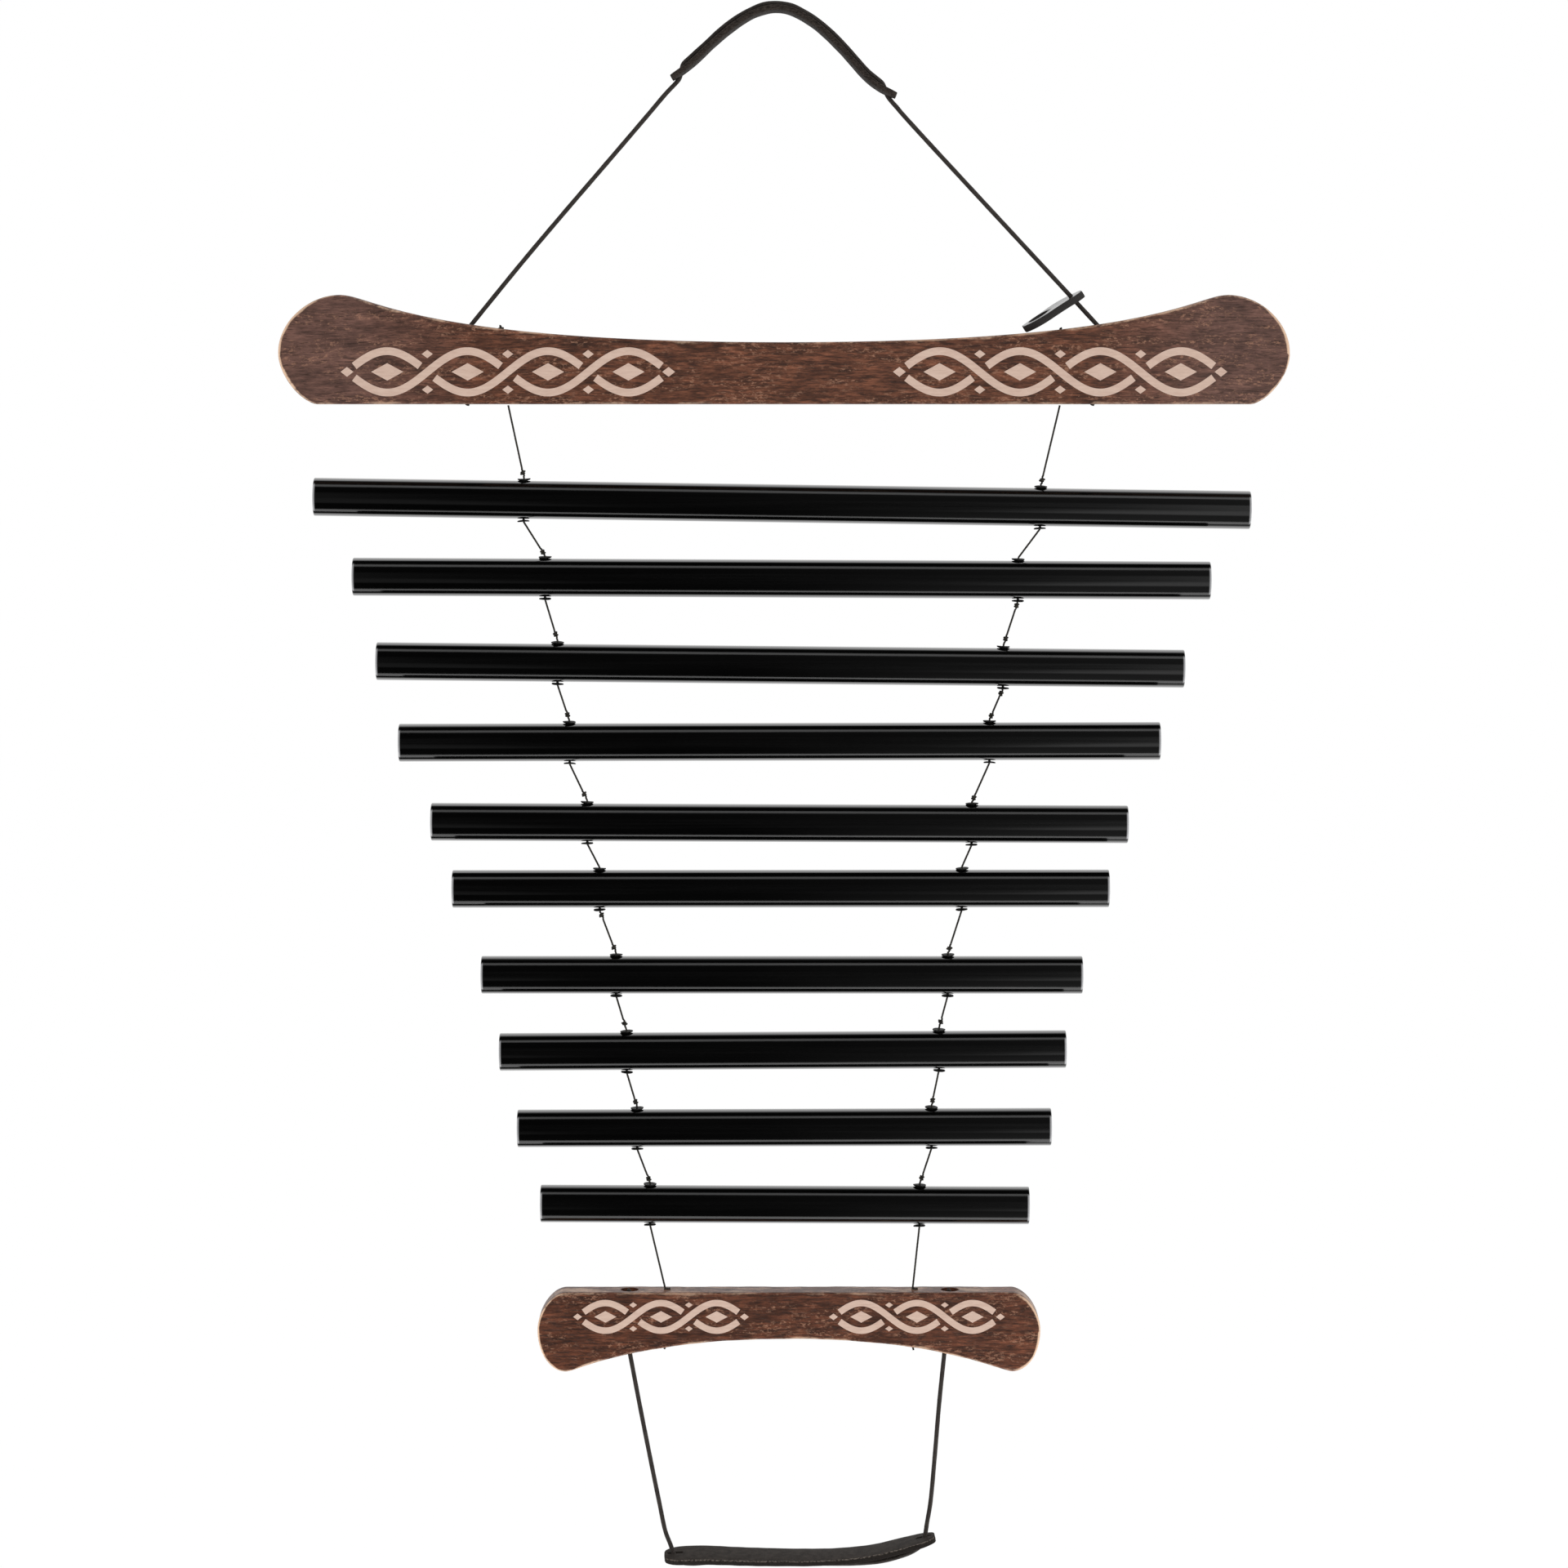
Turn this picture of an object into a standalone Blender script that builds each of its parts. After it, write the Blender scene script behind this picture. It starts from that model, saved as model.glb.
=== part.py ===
"""Tube chimes: ten tuned tubes strung like a ladder between two shaped wooden bars.

The top bar hangs on a leather cord that runs over a leather grip, and a second
cord with a second grip hangs under the bottom bar to shake or still the tubes.

X runs to the right along the tubes, Y away from the player and Z up. The origin
is on the underside of the upper grip, above the centre of the top bar.
Lengths are in metres, and lists that say so are in millimetres.
"""
import math

import bmesh
import bpy
from mathutils import Matrix, Vector
from mathutils.geometry import interpolate_bezier

MM = 0.001
MERGE = 0.00001
SEAT_GAP = 0.0003
CUT_OVERRUN = 0.003
EDGE_SAMPLES = 200

# Ten tubes of one stock, cut to a minor pentatonic scale
TUBE_DIAMETER = 0.022
TUBE_WALL = 0.0015
LONGEST_TUBE = 0.539
SEMITONES = (0, 3, 5, 7, 10, 12, 15, 17, 19, 22)
STILL_POINT = 0.224
TUBE_SIDES = 24
TUBE_SHIFTS_MM = (-1.1, -1.4, -2.1, -2.6, -2.6, -1.9, -1.2, -0.7, 0.2, 0.5)

# Vertical drop of the left and right string from mouth to mouth, top to bottom, in millimetres
STRING_DROPS_MM = (
    (43.9, 48.1), (22.8, 19.8), (27.3, 28.5), (24.1, 21.1), (24.6, 26.0), (16.8, 15.8),
    (28.4, 28.6), (23.0, 22.0), (23.3, 23.7), (22.9, 24.1), (39.9, 39.3))
STRING_DIAMETER = 0.0008
KNOT_DIAMETER = 0.0026
KNOT_LENGTH = 0.0042
KNOT_FROM_PIVOT = 0.0034
KNOTS_OVER_TUBES = {"left": (0, 1, 2, 3, 4, 6, 7, 8, 9), "right": (0, 2, 3, 4, 5, 6, 7, 8, 9)}
KNOTS_UNDER_TUBES = {"left": (6,), "right": (2, 3)}

# Flared liner that keeps the string off the edges of each pair of holes
LINER_NECK_RADIUS = 0.0022
LINER_RIM_RADIUS = 0.0039
LINER_RIM_WIDTH = 0.0004
LINER_RIM_RISE = 0.0024
LINER_DISH_RISE = 0.0009
LINER_DISH_RADIUS = 0.0009
LINER_STEPS = 10

# Both bars are sawn from one board. A cord bore is the X of its mouth and of its counterbore.
BAR_THICKNESS = 0.019
BAR_EDGE_ROUND = 0.0015
CORD_DIAMETER = 0.0026
COUNTERBORE_RADIUS = 0.00525
COUNTERBORE_DEPTH = 0.011
CORD_KNOT_RADIUS = 0.0039
CORD_KNOT_FLATNESS = 0.85
CORD_TAIL = 0.0012
CORD_TAIL_OFFSET = 0.0012
CORD_TAIL_LEAN = 0.001
STRING_TAIL = 0.0022
STRING_TAIL_LEAN = 0.0022
STRING_KNOT_RADIUS = 0.0011
HOLE_RING_DEPTH = 0.003
BAR_CORNER_HANDLE = 0.01

TOP_BAR_HALF_LENGTH = 0.2895
TOP_BAR_LOW = -0.2220
TOP_BAR_WAIST = 0.0354
TOP_BAR_LOBE = 0.0623
TOP_LOBE_FROM_END = 0.0358
TOP_CORNER_FROM_END = 0.0215
TOP_CORNER_RISE = 0.0022
TOP_BELLY_RISE = 0.0293
TOP_BELLY_HANDLE = 0.0125
TOP_CORD_BORES = ((-0.1781, -0.1808), (0.1781, 0.1783))
TOP_STRING_HALF_SPACING = 0.1586

BOTTOM_BAR_CENTRE = 0.0029
BOTTOM_BAR_HALF_LENGTH = 0.147
BOTTOM_BAR_WAIST = 0.0276
BOTTOM_BAR_LOBE = 0.047
BOTTOM_LOBE_FROM_END = 0.0165
BOTTOM_CORNER_FROM_END = 0.022
BOTTOM_BELLY_DROP = 0.0225
BOTTOM_CORD_BORES = ((-0.0933, -0.0933), (0.0912, 0.0942))
BOTTOM_STRING_HALF_SPACING = 0.0725

# Leather grips, cut as long tongues with rounded ends
STRAP_WIDTH = 0.024
STRAP_TIP_WIDTH = 0.007
STRAP_TIP_LENGTH = 0.014
STRAP_THICKNESS = 0.0032
STRAP_HOLE_FROM_TIP = 0.0065
STRAP_SLOT_LENGTH = 0.0064
STRAP_ROWS = 22
STRAP_STEP = 0.002

# Middle layer of each grip, X and Z in millimetres from left to right. The lower grip's are taken
# from the middle of the bottom bar's top edge.
TOP_GRIP_LINE_MM = (
    (-64.1, -36.7), (-57.6, -32.9), (-50.5, -27.3), (-41.5, -18.8), (-28.7, -8.2), (-16.7, -0.9),
    (-5.6, 1.9), (3.6, 0.6), (14.7, -5.2), (23.9, -12.5), (33.1, -21.6), (40.4, -29.7),
    (47.6, -37.4), (54.6, -42.6), (58.6, -44.6), (64.0, -46.7))
PULL_GRIP_LINE_MM = (
    (-73.3, -160.0), (-62.9, -159.0), (-48.9, -158.7), (-26.9, -159.5), (-2.9, -159.9), (19.1, -159.5),
    (37.1, -158.1), (53.1, -155.7), (67.1, -152.6), (86.1, -148.2))

# Cord routes between their mouths in the bars, likewise. The upper one's right leg is straight.
LEG_HIGH_MM = (66.9, -56.2)
HANGING_ROUTE_MM = (
    (-149.5, -140.5), (-125.7, -112.7), (-101.5, -84.9), (-77.5, -57.2),
    (-67.2, -45.2), (-61.8, -39.6), (-59.8, -37.1), (-58.6, -33.2), (-57.5, -28.8), (-54.0, -25.4),
    (-43.9, -16.3), (-37.2, -10.1), (-30.8, -5.0), (-24.6, -1.0), (-18.3, 2.3), (-12.0, 4.8), (-5.6, 5.6),
    (0.0, 5.2), (5.4, 3.9), (11.2, 1.0), (16.6, -2.2), (26.3, -9.8), (35.6, -19.1), (42.8, -27.2),
    (47.8, -32.6), (52.6, -36.6), (56.1, -39.6), (57.6, -43.0), (58.9, -46.5), (61.4, -49.9),
    (64.4, -53.2), LEG_HIGH_MM)
PULL_ROUTE_MM = (
    (-87.7, -68.8), (-82.1, -98.1), (-76.3, -127.6), (-72.7, -145.0), (-70.0, -152.2), (-67.3, -159.4),
    (-63.9, -163.2), (-58.5, -164.2), (-42.9, -163.4), (-22.9, -163.6), (-2.9, -163.9), (17.1, -164.2),
    (37.1, -164.2), (53.1, -163.0), (64.7, -160.2), (73.5, -156.6), (78.5, -152.6), (80.1, -147.6),
    (81.3, -140.0), (83.3, -127.6), (85.9, -98.1), (88.2, -68.8))
ROUTE_STEP = 0.015

# Oval leather slider on the right leg of the hanging cord. Its eye end leans on the top bar.
SLIDER_LENGTH = 0.0394
SLIDER_WIDTH = 0.021
SLIDER_THICKNESS = 0.004
SLIDER_EDGE_ROUND = 0.0004
SLIDER_UP_LEG = 0.018
SLIDER_HOLE_FROM_END = 0.0064
SLIDER_ROLL = math.radians(6.0)
SLIDER_EYE_RADIUS = 0.0062
SLIDER_EYE_FROM_END = 0.0107
CUTTER_SIDES = 12

TUBE_RADIUS = TUBE_DIAMETER / 2
STRING_RADIUS = STRING_DIAMETER / 2
CORD_RADIUS = CORD_DIAMETER / 2
CORD_CLEARANCE_RADIUS = CORD_RADIUS + SEAT_GAP
TUBE_HOLE_RADIUS = LINER_NECK_RADIUS + SEAT_GAP
TUBE_PIVOT_RISE = LINER_DISH_RISE + SEAT_GAP + STRING_RADIUS
BAR_PIVOT_GAP = SEAT_GAP + STRING_RADIUS
CORD_PIVOT_GAP = CORD_RADIUS + 1.2 * SEAT_GAP
SIDES = (("left", -1), ("right", 1))


def new_collection(name):
    collection = bpy.data.collections.new(name)
    bpy.context.scene.collection.children.link(collection)
    return collection


def new_material(name, colour, roughness, metallic=0.0):
    material = bpy.data.materials.new(name)
    material.use_nodes = True
    material.diffuse_color = (*colour, 1.0)
    shader = material.node_tree.nodes["Principled BSDF"]
    shader.inputs["Base Color"].default_value = (*colour, 1.0)
    shader.inputs["Roughness"].default_value = roughness
    shader.inputs["Metallic"].default_value = metallic
    return material


def new_object(name, data, collection, material=None, place=Matrix.Identity(4)):
    piece = bpy.data.objects.new(name, data)
    piece.matrix_world = place
    collection.objects.link(piece)
    if material:
        data.materials.append(material)
    return piece


def mesh_from(name, build):
    """Make a mesh with a function that fills an empty bmesh."""
    shape = bmesh.new()
    build(shape)
    mesh = bpy.data.meshes.new(name)
    shape.to_mesh(mesh)
    shape.free()
    return mesh


def hang_from(parent, child):
    """Parent a piece without moving it."""
    bpy.context.view_layer.update()
    child.parent = parent
    child.matrix_parent_inverse = parent.matrix_world.inverted()


def new_axis(name, left, right, parent=None):
    """Empty halfway between two points, its X axis along the line through them."""
    along = right - left
    turn = Matrix.Rotation(-math.atan2(along.z, along.x), 4, "Y")
    axis = bpy.data.objects.new(name, None)
    axis.empty_display_size = 0.01
    axis.matrix_world = Matrix.Translation((left + right) / 2) @ turn
    parts.objects.link(axis)
    if parent:
        hang_from(parent, axis)
    return axis


def smooth_shade(piece):
    piece.data.shade_smooth()
    piece.data.set_sharp_from_angle(angle=math.radians(35))


def boolean(piece, tool, operation):
    modifier = piece.modifiers.new(operation.title(), "BOOLEAN")
    modifier.operation = operation
    modifier.object = tool
    modifier.solver = "EXACT"
    modifier.use_self = operation == "UNION"


def new_tool(name, mesh, place=Matrix.Identity(4)):
    """Object that only cuts or joins others."""
    tool = new_object(name, mesh, cutters, place=place)
    tool.hide_render = True
    tool.display_type = "WIRE"
    return tool


def add_rod(shape, start, end, radius, sides=CUTTER_SIDES):
    """Straight round rod between two points, added to a bmesh."""
    along = Vector(end) - Vector(start)
    place = Matrix.Translation((Vector(start) + Vector(end)) / 2)
    place @= along.to_track_quat("Z", "Y").to_matrix().to_4x4()
    bmesh.ops.create_cone(shape, cap_ends=True, segments=sides, radius1=radius, radius2=radius,
                          depth=along.length, matrix=place)


def add_ball(shape, centre, radius, height=1.0):
    place = Matrix.Translation(centre) @ Matrix.Diagonal((1.0, 1.0, height, 1.0))
    bmesh.ops.create_uvsphere(shape, u_segments=8, v_segments=6, radius=radius, matrix=place)


def turned(name, profile, steps, collection, material, place):
    """Turn a profile of radii and heights about Z. It runs down its outer side."""
    def fill(shape):
        points = [shape.verts.new((radius, 0.0, height)) for radius, height in profile]
        for upper, lower in zip(points, points[1:]):
            shape.edges.new((upper, lower))
        if profile[0][0] > 0:
            shape.edges.new((points[-1], points[0]))
    piece = new_object(name, mesh_from(name, fill), collection, material, place)
    screw = piece.modifiers.new("Turn", "SCREW")
    screw.axis = "Z"
    screw.steps = steps
    screw.render_steps = steps
    screw.use_merge_vertices = True
    screw.merge_threshold = MERGE
    screw.use_smooth_shade = True
    return piece


def smooth_route(points_mm, step, origin=Vector(), ends=None):
    """Points along a Catmull-Rom curve through X and Z millimetres from the origin, and through the ends."""
    knots = [origin + Vector((x * MM, 0.0, z * MM)) for x, z in points_mm]
    if ends:
        knots = [ends[0], *knots, ends[1]]
    padded = [2 * knots[0] - knots[1], *knots, 2 * knots[-1] - knots[-2]]
    route = []
    for before, start, end, after in zip(padded, padded[1:], padded[2:], padded[3:]):
        times = [0.0]
        for first, second in ((before, start), (start, end), (end, after)):
            times.append(times[-1] + math.sqrt((second - first).length))
        count = max(1, round((end - start).length / step))
        for index in range(count):
            t = times[1] + (times[2] - times[1]) * index / count
            a = before.lerp(start, (t - times[0]) / (times[1] - times[0]))
            b = start.lerp(end, (t - times[1]) / (times[2] - times[1]))
            c = end.lerp(after, (t - times[2]) / (times[3] - times[2]))
            d = a.lerp(b, (t - times[0]) / (times[2] - times[0]))
            e = b.lerp(c, (t - times[1]) / (times[3] - times[1]))
            route.append(d.lerp(e, (t - times[1]) / (times[2] - times[1])))
    route.append(knots[-1])
    return route


def cord_piece(name, points, radius, material, swell=None):
    """Round cord through the points, thicker where swell says so."""
    curve = bpy.data.curves.new(name, "CURVE")
    curve.dimensions = "3D"
    curve.bevel_depth = radius
    curve.bevel_resolution = 2
    curve.use_fill_caps = True
    spline = curve.splines.new("POLY")
    spline.points.add(len(points) - 1)
    for index, point in enumerate(points):
        spline.points[index].co = (*point, 1.0)
        spline.points[index].radius = swell[index] if swell else 1.0
    return new_object(name, curve, parts, material)


def loop_cord(name, points, material):
    """Cord with a half ball on each end, which turns on its pivot without opening a gap."""
    rings = [(math.sin(angle), math.cos(angle)) for angle in (math.radians(d) for d in (30, 60, 84))]
    before = (points[0] - points[1]).normalized() * CORD_RADIUS
    after = (points[-1] - points[-2]).normalized() * CORD_RADIUS
    start = [points[0] + before * reach for reach, _ in reversed(rings)]
    stop = [points[-1] + after * reach for reach, _ in rings]
    narrowing = [width for _, width in rings]
    swell = narrowing[::-1] + [1.0] * len(points) + narrowing
    return cord_piece(name, start + points + stop, CORD_RADIUS, material, swell)


def bar_outline_mesh(name, outline, thickness):
    """Flat board with a Bezier outline of (point, handle before, handle after) in X and Z."""
    curve = bpy.data.curves.new(name, "CURVE")
    curve.dimensions = "2D"
    curve.fill_mode = "BOTH"
    curve.extrude = thickness / 2
    curve.resolution_u = 7
    spline = curve.splines.new("BEZIER")
    spline.bezier_points.add(len(outline) - 1)
    spline.use_cyclic_u = True
    for bezier, (point, before, after) in zip(spline.bezier_points, outline):
        bezier.handle_left_type = "FREE"
        bezier.handle_right_type = "FREE"
        bezier.co = (*point, 0.0)
        bezier.handle_left = (*before, 0.0)
        bezier.handle_right = (*after, 0.0)
    flat = new_object(name, curve, cutters)
    bpy.context.view_layer.update()
    mesh = bpy.data.meshes.new_from_object(flat.evaluated_get(bpy.context.evaluated_depsgraph_get()))
    bpy.data.objects.remove(flat)
    board = bmesh.new()
    board.from_mesh(mesh)
    bmesh.ops.remove_doubles(board, verts=board.verts, dist=MERGE)
    bmesh.ops.dissolve_limit(board, angle_limit=math.radians(0.1), verts=board.verts, edges=board.edges)
    bmesh.ops.rotate(board, cent=(0, 0, 0), matrix=Matrix.Rotation(math.pi / 2, 3, "X"), verts=board.verts)
    bmesh.ops.recalc_face_normals(board, faces=board.faces)
    board.to_mesh(mesh)
    board.free()
    return mesh


def mirrored_outline(half):
    """Close a half outline, given from the middle out and back to the middle, across X = 0."""
    def flip(point):
        return (-point[0], point[1])
    other = [(flip(p), flip(after), flip(before)) for p, before, after in half[-2:0:-1]]
    return half + other


def round_edges(piece, width, segments=2):
    bevel = piece.modifiers.new("Edge round", "BEVEL")
    bevel.width = width
    bevel.segments = segments
    bevel.limit_method = "ANGLE"
    bevel.angle_limit = math.radians(50)


def top_bar_outline():
    """Flat underside, two raised lobes and a long hollow top between them."""
    length = TOP_BAR_HALF_LENGTH
    lobe = (length - TOP_LOBE_FROM_END, TOP_BAR_LOBE)
    belly = (length, TOP_BELLY_RISE)
    corner = (length - TOP_CORNER_FROM_END, 0.0)
    rise = lobe[1] - belly[1]
    half = [
        ((0.0, 0.0), (-0.1 * length, 0.0), (0.1 * length, 0.0)),
        (corner, (corner[0] - BAR_CORNER_HANDLE, 0.0), (corner[0] + BAR_CORNER_HANDLE, TOP_CORNER_RISE)),
        (belly, (belly[0], belly[1] - TOP_BELLY_HANDLE), (belly[0], belly[1] + 0.52 * rise)),
        (lobe, (lobe[0] + 0.52 * TOP_LOBE_FROM_END, lobe[1]), (lobe[0] - 0.064 * lobe[0], lobe[1])),
        ((0.0, TOP_BAR_WAIST), (0.83 * lobe[0], TOP_BAR_WAIST), (-0.83 * lobe[0], TOP_BAR_WAIST))]
    return mirrored_outline(half)


def bottom_bar_outline():
    """Flat top, two lobes that hang at the ends and a hollow underside between them."""
    length = BOTTOM_BAR_HALF_LENGTH
    lobe = (length - BOTTOM_LOBE_FROM_END, -BOTTOM_BAR_LOBE)
    belly = (length, -BOTTOM_BELLY_DROP)
    corner = (length - BOTTOM_CORNER_FROM_END, 0.0)
    drop = belly[1] - lobe[1]
    half = [
        ((0.0, -BOTTOM_BAR_WAIST), (-0.68 * lobe[0], -BOTTOM_BAR_WAIST),
         (0.68 * lobe[0], -BOTTOM_BAR_WAIST)),
        (lobe, (lobe[0] - 0.045 * lobe[0], lobe[1]), (lobe[0] + 0.62 * BOTTOM_LOBE_FROM_END, lobe[1])),
        (belly, (belly[0], belly[1] - 0.5 * drop), (belly[0], belly[1] + 0.55 * BOTTOM_BELLY_DROP)),
        (corner, (corner[0] + 0.55 * BOTTOM_CORNER_FROM_END, 0.0), (corner[0] - BAR_CORNER_HANDLE, 0.0)),
        ((0.0, 0.0), (0.1 * length, 0.0), (-0.1 * length, 0.0))]
    return mirrored_outline(half)


def edge_height(outline, x, upper):
    """Height of the outline's upper or lower edge at x, read between close points of its Bezier spans."""
    points = []
    for (start, _, leave), (end, arrive, _) in zip(outline, outline[1:] + outline[:1]):
        points += interpolate_bezier(Vector(start), Vector(leave), Vector(arrive), Vector(end), EDGE_SAMPLES)
    heights = [a.y + (b.y - a.y) * (x - a.x) / (b.x - a.x) for a, b in zip(points, points[1:])
               if a.x != b.x and (a.x - x) * (b.x - x) <= 0]
    return max(heights) if upper else min(heights)


def make_bar(name, outline, origin, cord_bores, string_half_spacing, up, tail):
    """Board with its counterbores, the cord's end knots in them and the strings' knots.

    up is 1 where the cord leaves the upper edge and -1 where it leaves the lower edge.
    tail is how far the cord's cut end stands out of its counterbore.
    The end knots and the lengths of cord and string inside the wood are one with the bar.
    """
    bar = new_object(name, bar_outline_mesh(name, outline, BAR_THICKNESS), parts, wood,
                     Matrix.Translation(origin))
    round_edges(bar, BAR_EDGE_ROUND)

    def cut(shape):
        for mouth_x, counterbore_x in cord_bores:
            mouth = edge_height(outline, mouth_x, up > 0)
            add_rod(shape, (counterbore_x, 0, -up * CUT_OVERRUN), (counterbore_x, 0, up * COUNTERBORE_DEPTH),
                    COUNTERBORE_RADIUS, 20)
            add_rod(shape, (mouth_x, 0, mouth - up * HOLE_RING_DEPTH),
                    (mouth_x, 0, mouth + up * CUT_OVERRUN), CORD_CLEARANCE_RADIUS)

    def fill(shape):
        for mouth_x, counterbore_x in cord_bores:
            mouth = edge_height(outline, mouth_x, up > 0)
            knot = up * (COUNTERBORE_DEPTH - CORD_KNOT_FLATNESS * CORD_KNOT_RADIUS + SEAT_GAP)
            add_ball(shape, (counterbore_x, 0, knot), CORD_KNOT_RADIUS, CORD_KNOT_FLATNESS)
            tail_x = counterbore_x - CORD_TAIL_OFFSET
            add_rod(shape, (tail_x, 0, knot), (tail_x - CORD_TAIL_LEAN, 0, -up * tail), CORD_RADIUS, 8)
            add_rod(shape, (mouth_x, 0, mouth - up * 2 * HOLE_RING_DEPTH),
                    (mouth_x, 0, mouth - up * SEAT_GAP), CORD_RADIUS, 8)
        for _, side in SIDES:
            far = side * string_half_spacing
            edge = edge_height(outline, far, up > 0)
            add_ball(shape, (far, 0, edge), STRING_KNOT_RADIUS)
            tip = (far + up * side * STRING_TAIL_LEAN, 0, edge + up * STRING_TAIL)
            add_rod(shape, (far, 0, edge - up * STRING_KNOT_RADIUS), tip, STRING_RADIUS, 6)

    place = Matrix.Translation(origin)
    boolean(bar, new_tool(name + "_bores", mesh_from(name + "_bores", cut), place), "DIFFERENCE")
    boolean(bar, new_tool(name + "_knots", mesh_from(name + "_knots", fill), place), "UNION")
    return bar


def tube_length(number):
    """Length that sounds the given step of the scale: pitch goes with one over length squared."""
    return LONGEST_TUBE * 2 ** (-SEMITONES[number] / 24)


def hole_reach(number):
    return tube_length(number) * (0.5 - STILL_POINT)


def tube_places():
    """Work down the strings. Each tube tilts as its left and right string drops say."""
    left_z = right_z = TOP_BAR_LOW
    places = []
    for number, shift in enumerate(TUBE_SHIFTS_MM):
        left_drop, right_drop = STRING_DROPS_MM[number]
        left_z -= left_drop * MM
        right_z -= right_drop * MM
        reach = hole_reach(number)
        tilt = math.asin((right_z - left_z) / (2 * reach))
        height = (left_z + right_z) / 2 - TUBE_RADIUS * math.cos(tilt)
        place = Matrix.Translation((shift * MM, 0, height)) @ Matrix.Rotation(-tilt, 4, "Y")
        places.append(place)
        left_z = (place @ Vector((-reach, 0, -TUBE_RADIUS))).z
        right_z = (place @ Vector((reach, 0, -TUBE_RADIUS))).z
    left_drop, right_drop = STRING_DROPS_MM[-1]
    bottom_bar_top = (left_z - left_drop * MM + right_z - right_drop * MM) / 2
    return places, bottom_bar_top


def make_tube(number, place):
    """Drawn tube with a pair of cross-holes at each of its two still points."""
    name = f"tube_{number + 1:02d}"
    half = tube_length(number) / 2
    bore = TUBE_RADIUS - TUBE_WALL
    profile = [(TUBE_RADIUS, half), (TUBE_RADIUS, -half), (bore, -half), (bore, half)]
    lay_along_x = place @ Matrix.Rotation(math.pi / 2, 4, "Y")
    tube = turned(name, profile, TUBE_SIDES, parts, black_tube, lay_along_x)

    def cut(shape):
        for _, side in SIDES:
            x = side * hole_reach(number)
            add_rod(shape, (x, 0, 2 * TUBE_RADIUS), (x, 0, -2 * TUBE_RADIUS), TUBE_HOLE_RADIUS, 10)
    boolean(tube, new_tool(name + "_holes", mesh_from(name + "_holes", cut), place), "DIFFERENCE")
    return tube


def make_liner(number, side_name, side, place):
    """Sleeve through both walls, flared at each end. The string inside it is one with it."""
    dish = TUBE_RADIUS + LINER_DISH_RISE
    rim = TUBE_RADIUS + LINER_RIM_RISE
    neck = TUBE_RADIUS + SEAT_GAP
    upper = [(0.0, dish), (LINER_DISH_RADIUS, dish), (LINER_RIM_RADIUS - LINER_RIM_WIDTH, rim),
             (LINER_RIM_RADIUS, rim), (LINER_NECK_RADIUS, neck)]
    lower = [(radius, -height) for radius, height in reversed(upper)]
    at_hole = place @ Matrix.Translation((side * hole_reach(number), 0, 0))
    name = f"liner_{number + 1:02d}_{side_name}"
    return turned(name, upper + lower, LINER_STEPS, parts, liner_black, at_hole)


def make_string(gap, side_name, upper, lower):
    """String across one gap, swollen where it is knotted over or under a tube."""
    length = (lower - upper).length
    stops = [(0.0, 1.0), (length, 1.0)]
    peak = KNOT_DIAMETER / STRING_DIAMETER
    centres = []
    if gap in KNOTS_UNDER_TUBES[side_name]:
        centres.append(KNOT_FROM_PIVOT)
    if gap in KNOTS_OVER_TUBES[side_name]:
        centres.append(length - KNOT_FROM_PIVOT)
    for centre in centres:
        for offset, swell in ((-0.5, 1.0), (-0.28, 0.8 * peak), (0.0, peak), (0.28, 0.8 * peak), (0.5, 1.0)):
            stops.append((centre + offset * KNOT_LENGTH, swell))
    stops.sort()
    points = [upper.lerp(lower, distance / length) for distance, _ in stops]
    name = f"string_{gap:02d}_{side_name}"
    return cord_piece(name, points, STRING_RADIUS, string_black, [swell for _, swell in stops])


def strap_half_width(distance, length):
    """Half width at a distance along a strap: full in the middle, elliptic towards both tips."""
    from_tip = min(distance, length - distance)
    if from_tip >= STRAP_TIP_LENGTH:
        return STRAP_WIDTH / 2
    share = math.sqrt(1 - (1 - from_tip / STRAP_TIP_LENGTH) ** 2)
    return STRAP_TIP_WIDTH / 2 + (STRAP_WIDTH - STRAP_TIP_WIDTH) / 2 * share


def spots_along(line, distances):
    """Point and direction at each distance along a list of points."""
    spots = []
    for distance in distances:
        left = distance
        for start, end in zip(line, line[1:]):
            span = (end - start).length
            if left <= span or end is line[-1]:
                spots.append((start.lerp(end, left / span), (end - start).normalized()))
                break
            left -= span
    return spots


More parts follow.
